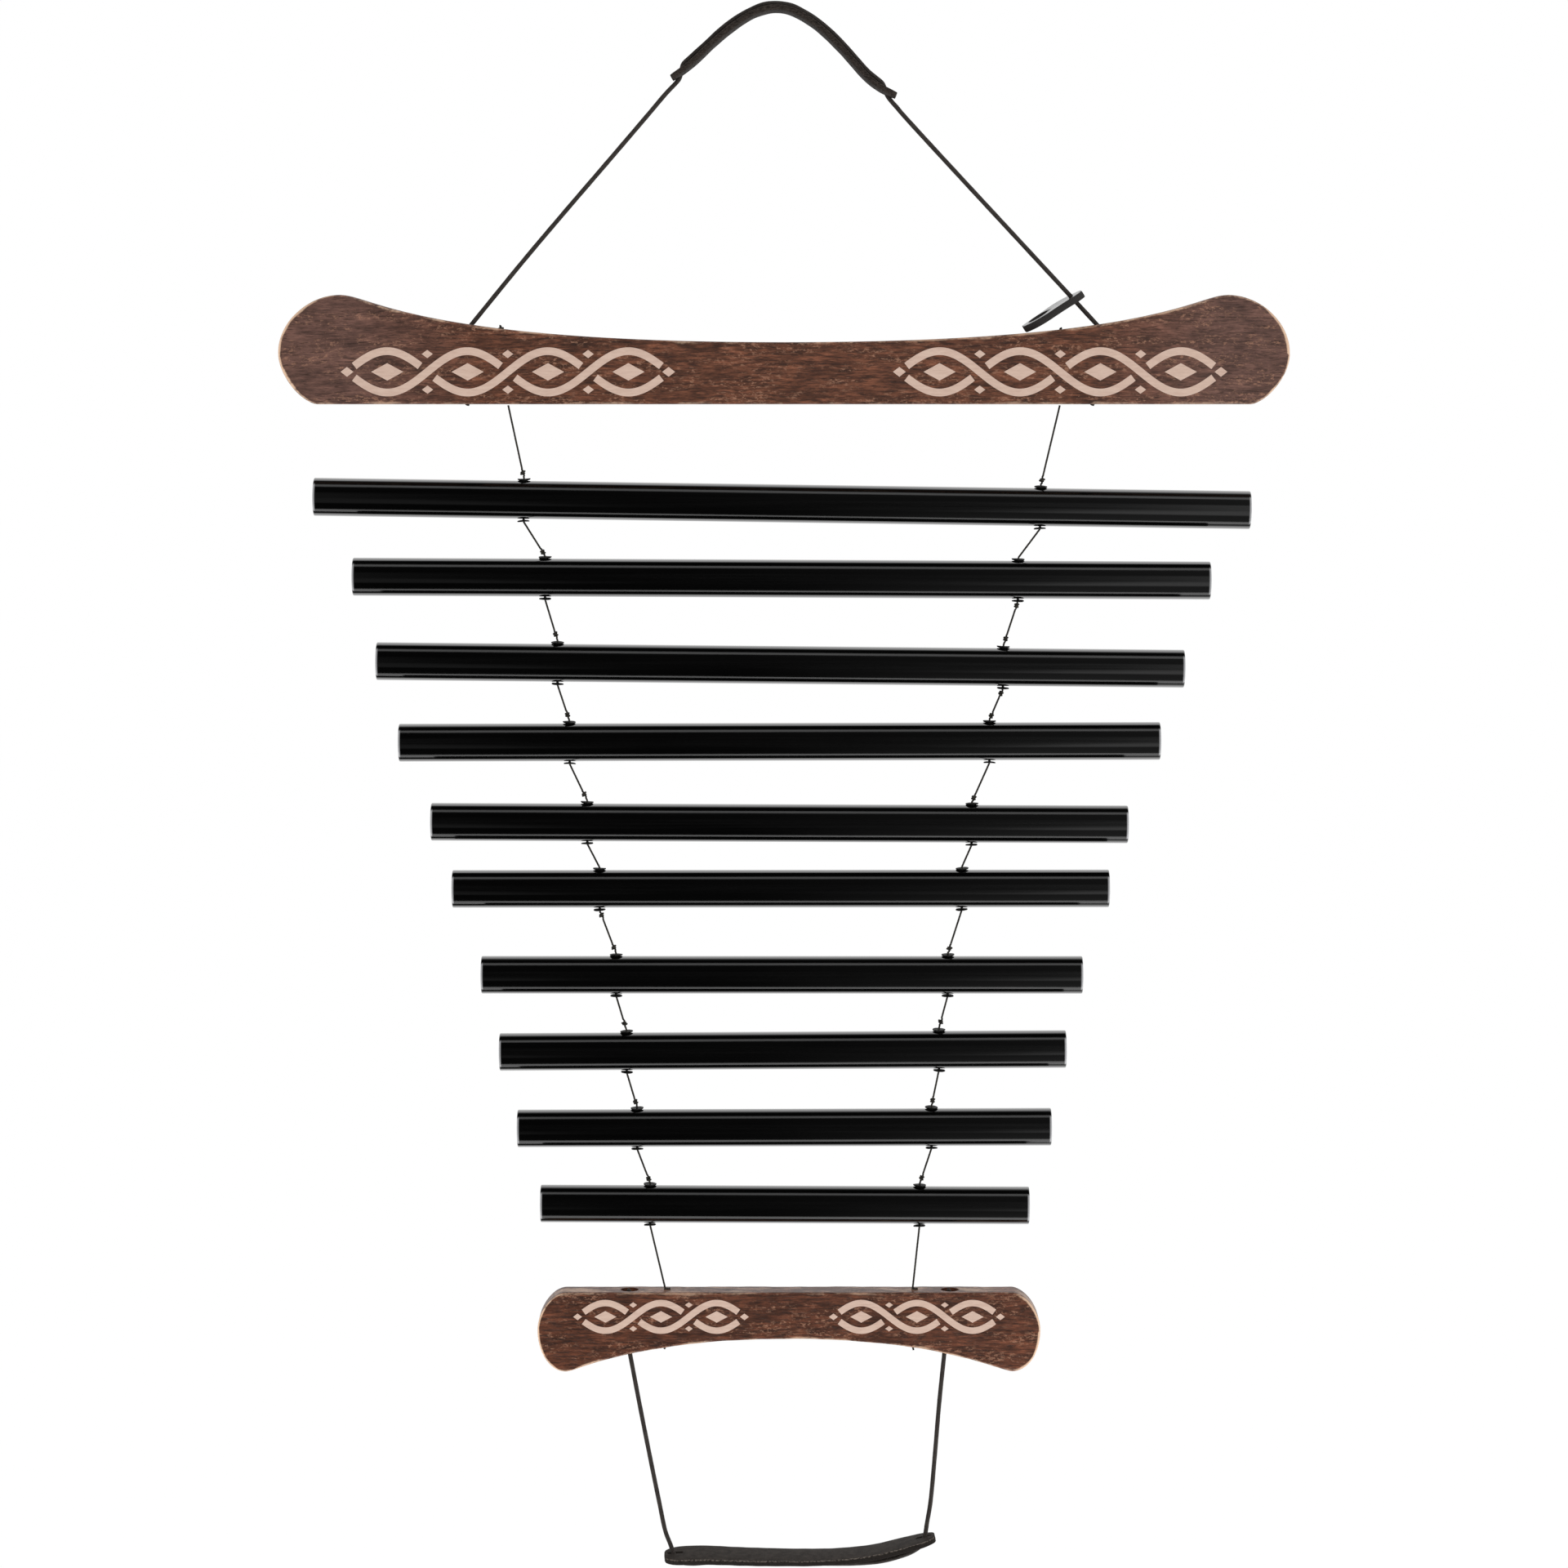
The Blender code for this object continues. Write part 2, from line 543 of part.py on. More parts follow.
def make_strap(name, line_mm, origin=Vector()):
    """Flat leather tongue that follows a line, with a slot near each tip for the cord."""
    line = smooth_route(line_mm, STRAP_STEP, origin)
    length = sum((b - a).length for a, b in zip(line, line[1:]))
    crowd = [0.5 - 0.5 * math.cos(math.pi * row / STRAP_ROWS) for row in range(STRAP_ROWS + 1)]
    even = [row / STRAP_ROWS for row in range(STRAP_ROWS + 1)]
    distances = [length * (0.45 * c + 0.55 * e) for c, e in zip(crowd, even)]
    spots = spots_along(line, distances)

    def fill(shape):
        bmesh.ops.create_grid(shape, x_segments=STRAP_ROWS, y_segments=4, size=0.5)
        for vert in shape.verts:
            row = round((vert.co.x + 0.5) * STRAP_ROWS)
            across = 2 * vert.co.y * strap_half_width(distances[row], length)
            vert.co = spots[row][0] + Vector((0.0, across, 0.0))
    strap = new_object(name, mesh_from(name, fill), parts, leather)
    shell = strap.modifiers.new("Thickness", "SOLIDIFY")
    shell.thickness = STRAP_THICKNESS
    shell.offset = 0.0
    shell.use_even_offset = True

    def cut(shape):
        hole_distances = (STRAP_HOLE_FROM_TIP, length - STRAP_HOLE_FROM_TIP)
        for centre, along in spots_along(line, hole_distances):
            slot = Matrix.Translation(centre) @ Matrix.Rotation(-math.atan2(along.z, along.x), 4, "Y")
            before = len(shape.verts)
            turn = Matrix.Rotation(math.pi / 12, 4, "Z")
            bmesh.ops.create_cone(shape, cap_ends=True, segments=12, radius1=CORD_CLEARANCE_RADIUS,
                                  radius2=CORD_CLEARANCE_RADIUS, depth=6 * STRAP_THICKNESS, matrix=turn)
            shape.verts.ensure_lookup_table()
            for vert in shape.verts[before:]:
                vert.co.x += math.copysign(STRAP_SLOT_LENGTH / 2, vert.co.x)
                vert.co = slot @ vert.co
    boolean(strap, new_tool(name + "_slots", mesh_from(name + "_slots", cut)), "DIFFERENCE")
    return strap


def cord_ends(outline, origin, cord_bores, up):
    """Where a cord starts and stops, just off its two mouths in a bar's edge."""
    return [origin + Vector((x, 0, edge_height(outline, x, up > 0) + up * CORD_PIVOT_GAP))
            for x, _ in cord_bores]


def lean_on_bar(hole, outline, origin):
    """Steepest rise at which the slider, held at its hole, still clears the bar's upper edge."""
    reach = SLIDER_LENGTH - SLIDER_HOLE_FROM_END
    for tenth in range(800, 0, -1):
        rise = math.radians(tenth / 10)
        clear = True
        for share in (0.4, 0.55, 0.7, 0.85, 0.95, 1.0):
            x = hole.x - share * reach * math.cos(rise) + SLIDER_THICKNESS / 2 * math.sin(rise)
            z = hole.z - share * reach * math.sin(rise) - SLIDER_THICKNESS / 2 * math.cos(rise)
            edge = origin.z + edge_height(outline, x - origin.x, True)
            half_width = SLIDER_WIDTH / 2 * math.sqrt(1 - (2 * share - 1) ** 2)
            clear = clear and z - half_width * math.sin(SLIDER_ROLL) > edge + SEAT_GAP
        if clear:
            return rise
    return 0.0


def make_slider(cord_direction, hole, rise):
    """Oval leather tab with a small hole that grips the cord and a large eye at its free end."""
    long, wide = SLIDER_LENGTH / 2, SLIDER_WIDTH / 2
    outline = [
        ((long, 0.0), (long, -0.62 * wide), (long, 0.62 * wide)),
        ((0.0, wide), (0.66 * long, wide), (-0.66 * long, wide)),
        ((-long, 0.0), (-long, 0.62 * wide), (-long, -0.62 * wide)),
        ((0.0, -wide), (-0.66 * long, -wide), (0.66 * long, -wide))]
    place = Matrix.Translation(hole) @ Matrix.Rotation(-rise, 4, "Y")
    place @= Matrix.Translation((SLIDER_HOLE_FROM_END - long, 0, 0)) @ Matrix.Rotation(SLIDER_ROLL, 4, "X")
    mesh = bar_outline_mesh("cord_slider", outline, SLIDER_THICKNESS)
    mesh.transform(Matrix.Rotation(-math.pi / 2, 4, "X"))
    slider = new_object("cord_slider", mesh, parts, leather, place)
    round_edges(slider, SLIDER_EDGE_ROUND, 1)
    eye = place @ Vector((SLIDER_EYE_FROM_END - long, 0, 0))
    across = place.to_3x3() @ Vector((0, 0, 2 * SLIDER_THICKNESS))

    def cut(shape):
        add_rod(shape, eye - across, eye + across, SLIDER_EYE_RADIUS, 20)
        reach = 4 * SLIDER_THICKNESS * cord_direction
        add_rod(shape, hole - reach, hole + reach, CORD_CLEARANCE_RADIUS)
    boolean(slider, new_tool("cord_slider_holes", mesh_from("cord_slider_holes", cut)), "DIFFERENCE")
    return slider


for old in list(bpy.data.objects):
    bpy.data.objects.remove(old)
parts = new_collection("tube_chimes")
cutters = new_collection("cutters")
wood = new_material("stained_wood", (0.12, 0.045, 0.028), 0.45)
black_tube = new_material("black_anodised", (0.006, 0.006, 0.006), 0.22, 1.0)
liner_black = new_material("liner_black", (0.02, 0.019, 0.018), 0.55)
string_black = new_material("waxed_string", (0.03, 0.028, 0.026), 0.6)
leather = new_material("black_leather", (0.03, 0.024, 0.021), 0.6)

# The hanging loop is what the hand or hook holds
top_outline = top_bar_outline()
top_origin = Vector((0, 0, TOP_BAR_LOW))
hanging_ends = cord_ends(top_outline, top_origin, TOP_CORD_BORES, 1)
hanging_points = smooth_route(HANGING_ROUTE_MM, ROUTE_STEP, ends=hanging_ends)
hanging_cord = loop_cord("hanging_cord", hanging_points, leather)
top_grip = make_strap("top_grip", TOP_GRIP_LINE_MM)
hang_from(top_grip, hanging_cord)

leg_low = hanging_ends[1]
leg_direction = (Vector((LEG_HIGH_MM[0] * MM, 0, LEG_HIGH_MM[1] * MM)) - leg_low).normalized()
slider_hole = leg_low + SLIDER_UP_LEG * leg_direction
slider_rise = lean_on_bar(slider_hole, top_outline, top_origin)
slider = make_slider(leg_direction, slider_hole, slider_rise)
slider_track = new_axis("slide_cord_slider", slider_hole, slider_hole + leg_direction)
slider_track.matrix_world = Matrix.Translation(slider_hole)
hang_from(slider_track, slider)
hang_from(top_grip, slider_track)

# Top bar on the two ends of the hanging cord
bar_axis = new_axis("axis_top_bar", *hanging_ends, top_grip)
top_bar = make_bar("top_bar", top_outline, top_origin, TOP_CORD_BORES, TOP_STRING_HALF_SPACING, 1, CORD_TAIL)
hang_from(bar_axis, top_bar)

# Tubes and strings, from the top bar down
places, bottom_bar_top = tube_places()
carrier = bar_axis
mouths = [Vector((side * TOP_STRING_HALF_SPACING, 0, TOP_BAR_LOW - BAR_PIVOT_GAP)) for _, side in SIDES]
for number, place in enumerate(places):
    reach = hole_reach(number)
    rise = TUBE_RADIUS + TUBE_PIVOT_RISE
    arrivals = [place @ Vector((side * reach, 0, rise)) for _, side in SIDES]
    string_axis = new_axis(f"axis_strings_{number:02d}", *mouths, carrier)
    for (side_name, _), upper, lower in zip(SIDES, mouths, arrivals):
        hang_from(string_axis, make_string(number, side_name, upper, lower))
    carrier = new_axis(f"axis_tube_{number + 1:02d}", *arrivals, string_axis)
    hang_from(carrier, make_tube(number, place))
    for side_name, side in SIDES:
        hang_from(carrier, make_liner(number, side_name, side, place))
    mouths = [place @ Vector((side * reach, 0, -rise)) for _, side in SIDES]

# Bottom bar and the pull loop under it
arrivals = [Vector((BOTTOM_BAR_CENTRE + side * BOTTOM_STRING_HALF_SPACING, 0,
                    bottom_bar_top + BAR_PIVOT_GAP)) for _, side in SIDES]
last_gap = len(places)
string_axis = new_axis(f"axis_strings_{last_gap:02d}", *mouths, carrier)
for (side_name, _), upper, lower in zip(SIDES, mouths, arrivals):
    hang_from(string_axis, make_string(last_gap, side_name, upper, lower))
bottom_axis = new_axis("axis_bottom_bar", *arrivals, string_axis)
bottom_outline = bottom_bar_outline()
bottom_origin = Vector((BOTTOM_BAR_CENTRE, 0, bottom_bar_top))
bottom_bar = make_bar("bottom_bar", bottom_outline, bottom_origin, BOTTOM_CORD_BORES,
                      BOTTOM_STRING_HALF_SPACING, -1, -CORD_TAIL)
hang_from(bottom_axis, bottom_bar)

pull_ends = cord_ends(bottom_outline, bottom_origin, BOTTOM_CORD_BORES, -1)
pull_axis = new_axis("axis_pull_loop", *pull_ends, bottom_axis)
pull_points = smooth_route(PULL_ROUTE_MM, ROUTE_STEP, bottom_origin, pull_ends)
pull_cord = loop_cord("pull_cord", pull_points, leather)
pull_grip = make_strap("pull_grip", PULL_GRIP_LINE_MM, bottom_origin)
hang_from(pull_axis, pull_cord)
hang_from(pull_axis, pull_grip)

for piece in parts.objects:
    if piece.type == "MESH":
        smooth_shade(piece)
print("cord ends at", [[round(v / MM, 2) for v in end] for end in hanging_ends + pull_ends],
      "mm, slider rises", round(math.degrees(slider_rise), 1), "degrees")
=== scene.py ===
"""Looks of the tube chimes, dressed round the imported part.

Every shape is a surface of two parameters, worked out as whole arrays. Lengths are in metres, in the
part's own frame: X to the right along the tubes, Y away from the player, Z up. Lists that say so are
in millimetres.
"""
import math

import bmesh
import bpy
import numpy as np
from mathutils import Matrix


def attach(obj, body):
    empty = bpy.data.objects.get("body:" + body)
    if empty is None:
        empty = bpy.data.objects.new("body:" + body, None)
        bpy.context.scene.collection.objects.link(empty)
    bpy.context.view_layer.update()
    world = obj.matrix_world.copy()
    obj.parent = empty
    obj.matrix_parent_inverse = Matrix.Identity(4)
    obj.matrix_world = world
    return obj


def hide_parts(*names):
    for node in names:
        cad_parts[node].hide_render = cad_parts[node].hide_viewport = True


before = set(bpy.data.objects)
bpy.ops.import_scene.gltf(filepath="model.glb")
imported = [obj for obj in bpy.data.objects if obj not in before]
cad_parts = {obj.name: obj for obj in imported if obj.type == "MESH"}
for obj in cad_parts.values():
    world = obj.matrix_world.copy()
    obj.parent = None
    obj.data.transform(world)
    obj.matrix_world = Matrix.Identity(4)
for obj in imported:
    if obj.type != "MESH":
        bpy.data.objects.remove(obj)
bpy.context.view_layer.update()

MM = 0.001
RIGHT = np.array((1.0, 0.0, 0.0))
ACROSS = np.array((0.0, 1.0, 0.0))
SIDES = (("left", -1), ("right", 1))
MERGE = 1e-7

# Camera and light. The camera sees the floor as plain white light by FLOOR_SHARE, and the rest as lit.
CAMERA_PLACE = (0.0, -2.546, -0.1917)
CAMERA_PITCH = math.radians(-5.6)
CAMERA_LENS = 101.36
SENSOR = 36
FLOOR_HEIGHT = -1.8
FLOOR_SIZE = 30.0
FLOOR_WHITE = 1.03
FLOOR_SHARE = 0.9
DAYLIGHT = 0.86
WHITE = (1.0, 1.0, 1.0, 1.0)

# Lamps: place, turn, size and radiance
LAMPS = (("lamp_above", (0.0, -1.15, 4.0), (math.radians(16), 0.0, 0.0), (3.4, 1.2), 2.5),
         ("lamp_below", (0.0, -0.1, -1.55), (math.pi, 0.0, 0.0), (4.6, 0.42), 3.6))

# Cords and strings
CORD_DIAMETER = 0.0026
CORD_STEP = 0.0012
CORD_KNOT_RADIUS = 0.0027
CORD_STUB_LENGTH = 0.0045
LEATHER_HOLE_RADIUS = CORD_DIAMETER / 2 + 0.0003
WOOD_HOLE_RADIUS = CORD_DIAMETER / 2 + 0.0004
STRING_DIAMETER = 0.0008
STRING_FULLNESS = 1.3
STRING_TWIST = 0.0022
STRAND_DEPTH = 0.12
STRING_STEP = 0.0008
KNOT_LENGTH = 0.0046
KNOT_RADIUS = 0.0010

# Middles of the knots, by the string's number: above the tube that it carries, and below the one that
# it hangs from, in millimetres. The looser knots show the string crossing from side to side.
KNOT_RISES_MM = {"left": {0: 3.0, 1: 2.4, 2: 4.2, 3: 3.6, 4: 4.2, 6: 3.7, 7: 4.0, 8: 3.0, 9: 2.5},
                 "right": {0: 3.0, 2: 4.0, 3: 2.5, 4: 2.8, 6: 3.0, 7: 4.0, 8: 3.2, 9: 3.7}}
KNOT_DROPS_MM = {"left": {6: 3.0}, "right": {2: 2.4, 3: 2.9}}
LOOSE_KNOTS = {"left": (0, 4, 6, 7), "right": (0, 6, 7)}

# Ends of the cords at the bars, and their routes between them, X and Z in millimetres
HANGING_ENDS_MM = ((-178.1, -175.11), (178.1, -175.11))
HANGING_ROUTE_MM = (
    (-149.5, -140.5), (-125.7, -112.7), (-101.5, -84.9), (-77.5, -57.2),
    (-67.2, -45.2), (-61.8, -39.6), (-59.8, -37.1), (-58.6, -33.2), (-57.5, -28.8), (-54.0, -25.4),
    (-43.9, -16.3), (-37.2, -10.1), (-30.8, -5.0), (-24.6, -1.0), (-18.3, 2.3), (-12.0, 4.8),
    (-5.6, 5.6), (0.0, 5.2), (5.4, 3.9), (11.2, 1.0), (16.6, -2.2), (26.3, -9.8), (35.6, -19.1),
    (42.8, -27.2), (47.8, -32.6), (52.6, -36.6), (56.1, -39.6), (57.6, -43.0), (58.9, -46.5),
    (61.4, -49.9), (64.4, -53.2), (66.9, -56.2))
PULL_ENDS_MM = ((-90.4, -777.27), (94.1, -776.81))
PULL_ROUTE_MM = (
    (-84.8, -807.8), (-79.2, -837.1), (-73.4, -866.6), (-69.8, -884.0), (-67.1, -891.2), (-64.4, -898.4),
    (-61.0, -902.2), (-55.6, -903.2), (-40.0, -902.4), (-20.0, -902.6), (0.0, -902.9), (20.0, -903.2),
    (40.0, -903.2), (56.0, -902.0), (67.6, -899.2), (76.4, -895.6), (81.4, -891.6), (83.0, -886.6),
    (84.2, -879.0), (86.2, -866.6), (88.8, -837.1), (91.1, -807.8))

# Leather grips: middle layer from left to right, X and Z in millimetres. STRAP_POWERS square the
# section.
TOP_GRIP_LINE_MM = (
    (-64.1, -36.7), (-57.6, -32.9), (-50.5, -27.3), (-41.5, -18.8), (-28.7, -8.2), (-16.7, -0.9),
    (-5.6, 1.9), (3.6, 0.6), (14.7, -5.2), (23.9, -12.5), (33.1, -21.6), (40.4, -29.7),
    (47.6, -37.4), (54.6, -42.6), (58.6, -44.6), (64.0, -46.7))
PULL_GRIP_LINE_MM = (
    (-70.4, -899.0), (-60.0, -898.1), (-46.0, -897.8), (-24.0, -898.6), (0.0, -899.1), (22.0, -899.0),
    (40.0, -897.9), (56.0, -895.5), (70.0, -891.9), (89.0, -887.2))
STRAP_WIDTH = 0.024
STRAP_TIP_WIDTH = 0.007
STRAP_TIP_LENGTH = 0.014
STRAP_THICKNESS = 0.0036
STRAP_SLOT_FROM_TIP = 0.0065
STRAP_SLOT_LENGTH = 0.0064
STRAP_GROOVE = 0.0002
STRAP_POWERS = (0.55, 0.22)

# Oval slider on the right leg of the hanging cord
SLIDER_LENGTH = 0.0394
SLIDER_WIDTH = 0.021
SLIDER_THICKNESS = 0.004
SLIDER_HOLE_MM = (165.8, -161.9)
SLIDER_HOLE_FROM_END = 0.0064
SLIDER_RISE = math.radians(31.7)
SLIDER_ROLL = math.radians(6.0)
SLIDER_EDGE_ROUND = 0.0006
SLIDER_EYE_RADIUS = 0.0062
SLIDER_EYE_FROM_END = 0.0107

# Tubes and their liners
TUBE_RADIUS = 0.011
TUBE_WALL = 0.0015
TUBE_EDGE_ROUND = 0.0007
STILL_POINT = 0.224

# Liners, from the middle of the dish over its rim to the neck: radius and distance from the wall, in
# millimetres
UPPER_DISH_MM = (
    (0.0, 0.75), (0.45, 0.70), (0.9, 0.62), (2.0, 0.72), (3.1, 1.0), (3.55, 1.18), (3.80, 1.12),
    (3.90, 0.85), (3.75, 0.50), (3.3, 0.22), (2.6, 0.06), (2.1, -0.1), (2.0, -0.6))
LOWER_DISH_MM = (
    (0.0, 1.50), (0.45, 1.45), (0.9, 1.40), (2.0, 1.42), (3.0, 1.55), (3.4, 1.60), (3.6, 1.45),
    (3.62, 1.15), (3.3, 0.85), (2.6, 0.72), (1.6, 0.66), (0.8, 0.55), (0.7, 0.0), (0.7, -0.6))

# Bars
BAR_THICKNESS = 0.019
TOP_BAR_HALF_LENGTH = 0.2895
BOTTOM_BAR_HALF_LENGTH = 0.147
BAR_EDGE_ROUND = 0.0016
BAR_SPINE_INSET = 0.02
# Pale tone on the narrow sides all round: partly wear, partly painted light that lifts the top faces
BAR_SIDE_WEAR_AND_LIGHT = 0.36
TOP_BAR_LOW = -0.2220
BOTTOM_BAR_HIGH = -0.7390
BOTTOM_BAR_CENTRE = 0.0029
COUNTERBORE_RADIUS = 0.00525
COUNTERBORE_DEPTH = 0.011
TOP_CORD_BORES = ((-0.1781, -0.1808), (0.1781, 0.1783))
BOTTOM_CORD_BORES = ((-0.0933, -0.0933), (0.0912, 0.0942))

# Depths of a cord knot's outer end and of its tail's tip in the wood
TOP_KNOT_DEPTHS = (0.0034, -0.0006)
BOTTOM_KNOT_DEPTHS = (0.0009, 0.0003)

# Ends of the strings on the bars: X, depth of the knot in the wood, its radius, X and Z of its tail
TOP_STRING_ENDS = {"left": (-0.1624, 0.0002, 0.0013, -0.0009, 0.0019),
                   "right": (0.1586, 0.0011, 0.0008, 0.0009, 0.0019)}
BOTTOM_STRING_ENDS = {"left": (-0.0725, 0.0008, 0.0008, -0.0006, -0.0036),
                      "right": (0.0725, 0.0008, 0.0008, 0.0006, -0.0042)}
STRING_TAIL_MM = ((-0.4, -1.0), (-0.2, 0.4), (0.8, 0.55), (2.0, 0.4), (3.0, 0.6))

# Stains of the bars
TOP_BROWN = (0.105, 0.038, 0.020)
BOTTOM_BROWN = (0.088, 0.029, 0.0145)
LOBE_GREY_BROWN = (0.120, 0.060, 0.046)

# Dull blacks: stretch and detail of the noise, where it turns light, dark and light tones, range of
# roughness, specular level, relief
DULL_BLACKS = (
    ("waxed_string", (900.0, 900.0, 400.0), 3.0, (0.35, 0.7), (0.013, 0.012, 0.010),
     (0.050, 0.045, 0.034), (0.55, 0.75), 0.25, 0.00003),
    ("liner_black", (700.0, 700.0, 700.0), 4.0, (0.45, 0.75), (0.006, 0.006, 0.006),
     (0.030, 0.029, 0.026), (0.40, 0.60), 0.2, 0.00006))

# Leathers: dark, light, raw and seam tones, cells a metre, roughness, specular level, relief. The pull
# strap's raw tone is painted shade: its cut edge, which faces down and forward, is made darker than its
# grain side.
LEATHERS = (
    ("cord_leather", ((0.022, 0.0175, 0.015), (0.042, 0.034, 0.029), (0.050, 0.042, 0.036),
                      (0.022, 0.0175, 0.015)), 3000.0, 0.65, 0.25, 0.00005),
    ("top_strap_leather", ((0.014, 0.011, 0.0095), (0.034, 0.027, 0.023), (0.058, 0.046, 0.039),
                           (0.006, 0.005, 0.0045)), 1300.0, 0.7, 0.1, 0.00005),
    # Raw tone here is painted shade on the cut edge, which faces down and forward
    ("pull_strap_leather", ((0.022, 0.018, 0.0155), (0.042, 0.035, 0.030), (0.012, 0.010, 0.0088),
                            (0.16, 0.135, 0.115)), 1300.0, 0.7, 0.1, 0.00005),
    ("slider_leather", ((0.010, 0.0085, 0.0075), (0.022, 0.017, 0.015), (0.017, 0.013, 0.012),
                        (0.010, 0.0085, 0.0075)), 1700.0, 0.07, 0.55, 0.00002))


def grid_faces(rows, columns, along, around):
    """Quads between neighbouring rows and columns, wrapping where the grid is closed."""
    row = np.arange(rows if along else rows - 1)[:, None]
    column = np.arange(columns if around else columns - 1)[None, :]
    next_row, next_column = (row + 1) % rows, (column + 1) % columns
    corners = (row * columns + column, row * columns + next_column,
               next_row * columns + next_column, next_row * columns + column)
    return np.stack(np.broadcast_arrays(*corners), axis=-1).reshape(-1, 4)


def make_mesh(name, grids, marks=None):
    """One mesh from grids of (points, closed along, closed around). Poles and seams are merged.

    marks holds float attributes, each one value for every point of the grids.
    """
    points, faces, start = [], [], 0
    for grid, along, around in grids:
        rows, columns = grid.shape[:2]
        faces.append(grid_faces(rows, columns, along, around) + start)
        points.append(grid.reshape(-1, 3))
        start += rows * columns
    mesh = bpy.data.meshes.new(name)
    mesh.from_pydata(np.vstack(points).tolist(), [], np.vstack(faces).tolist())
    for mark, values in (marks or {}).items():
        attribute = mesh.attributes.new(mark, "FLOAT", "POINT")
        values = np.concatenate([grid.ravel() for grid in values])
        attribute.data.foreach_set("value", values.astype(np.float32))
    shape = bmesh.new()
    shape.from_mesh(mesh)
    bmesh.ops.remove_doubles(shape, verts=shape.verts, dist=MERGE)
    bmesh.ops.recalc_face_normals(shape, faces=shape.faces)
    shape.to_mesh(mesh)
    shape.free()
    return mesh


def make_object(name, data):
    made = bpy.data.objects.new(name, data)
    bpy.context.scene.collection.objects.link(made)
    return made


def cut_out(piece, cutters):
    """Cut closed meshes out of a piece for good."""
    for cutter in cutters:
        modifier = piece.modifiers.new("Cut", "BOOLEAN")
        modifier.object = cutter
        modifier.solver = "EXACT"
    bpy.context.view_layer.update()
    whole = bpy.data.meshes.new_from_object(piece.evaluated_get(bpy.context.evaluated_depsgraph_get()))
    piece.modifiers.clear()
    piece.data = whole
    for cutter in cutters:
        bpy.data.objects.remove(cutter)


def add_piece(name, grids, material, body, marks=None, cutters=(), replaced=(), sharp=50):
    """Build one piece from its grids, cut its holes, shade it and seat it on its body."""
    piece = make_object(name, make_mesh(name, grids, marks))
    if cutters:
        cut_out(piece, cutters)
    piece.data.shade_smooth()
    piece.data.set_sharp_from_angle(angle=math.radians(sharp))
    piece.data.materials.clear()
    piece.data.materials.append(material)
    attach(piece, body)
    if replaced:
        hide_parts(*replaced)
    return piece


def unit(vectors):
    return vectors / np.linalg.norm(vectors, axis=-1, keepdims=True)


def in_plane(points_mm):
    """X and Z in millimetres as points in metres, with Y zero."""
    points = np.zeros((len(points_mm), 3))
    points[:, 0::2] = np.array(points_mm) * MM
    return points


def curve_through(points, samples):
    """Centripetal Catmull-Rom curve: lines through neighbouring points, blended twice, and timed by
    the square root of each span's length."""
    p = np.vstack([2 * points[0] - points[1], points, 2 * points[-1] - points[-2]])
    gaps = np.sqrt(np.linalg.norm(np.diff(p, axis=0), axis=1))
    time = np.concatenate([[0.0], np.cumsum(gaps)])
    p0, p1, p2, p3 = p[:-3, None], p[1:-2, None], p[2:-1, None], p[3:, None]
    t0, t1, t2, t3 = (time[k:len(time) - 3 + k, None, None] for k in range(4))
    t = t1 + (t2 - t1) * np.linspace(0, 1, samples, endpoint=False)[None, :, None]

    def between(a, b, ta, tb):
        return a + (b - a) * (t - ta) / (tb - ta)
    a, b, c = between(p0, p1, t0, t1), between(p1, p2, t1, t2), between(p2, p3, t2, t3)
    d, e = between(a, b, t0, t2), between(b, c, t1, t3)
    return np.vstack([between(d, e, t1, t2).reshape(-1, 3), points[-1:]])


def distances_along(path):
    return np.concatenate([[0.0], np.cumsum(np.linalg.norm(np.diff(path, axis=0), axis=1))])


def at_distances(path, marks):
    """Points of a path at the given distances along it."""
    distance = distances_along(path)
    return np.stack([np.interp(marks, distance, path[:, k]) for k in range(3)], axis=1)


def evenly(path, step):
    length = distances_along(path)[-1]
    return at_distances(path, np.linspace(0, length, round(length / step) + 1))


def ripple(values, *waves):
    """Sum of sines, each (amplitude, waves per unit, phase): an unevenness that is the same each run."""
    return sum(size * np.sin(2 * math.pi * (rate * values + phase)) for size, rate, phase in waves)


def sweep(path, radii, sides, reference=ACROSS, strands=0, twist=0.0, strand_depth=0.0):
    """Round cord: a ring square to the path at each of its points, of that point's radius.

    With strands, the radius swells and dips round the ring, and the pattern turns along the path.
    """
    along = unit(np.gradient(path, axis=0))
    side = unit(np.cross(along, np.broadcast_to(reference, path.shape)))
    up = np.cross(side, along)
    angle = np.linspace(0, 2 * math.pi, sides, endpoint=False)
    radius = np.broadcast_to(np.asarray(radii, float).reshape(-1, 1), (len(path), sides))
    if strands:
        turn = 2 * math.pi * distances_along(path)[:, None] / twist
        radius = radius * (1 + strand_depth * np.abs(np.cos((strands * angle[None] + turn) / 2)))
    ring = np.cos(angle)[None, :, None] * side[:, None] + np.sin(angle)[None, :, None] * up[:, None]
    return path[:, None] + radius[..., None] * ring


def with_round_ends(path, radii, reference=None, bulge=1.0):
    """Add a half ball of rings before the first and after the last point."""
    angle = np.radians((90, 70, 45, 20))
    first = path[0] + unit(path[0] - path[1]) * radii[0] * bulge * np.sin(angle)[:, None]
    last = path[-1] + unit(path[-1] - path[-2]) * radii[-1] * bulge * np.sin(angle[::-1])[:, None]
    long_path = np.vstack([first, path, last])
    long_radii = np.concatenate([radii[0] * np.cos(angle), radii, radii[-1] * np.cos(angle[::-1])])
    if reference is None:
        return long_path, long_radii
    ends = [np.repeat(reference[k][None], len(angle), axis=0) for k in (0, -1)]
    return long_path, long_radii, np.vstack([ends[0], reference, ends[1]])


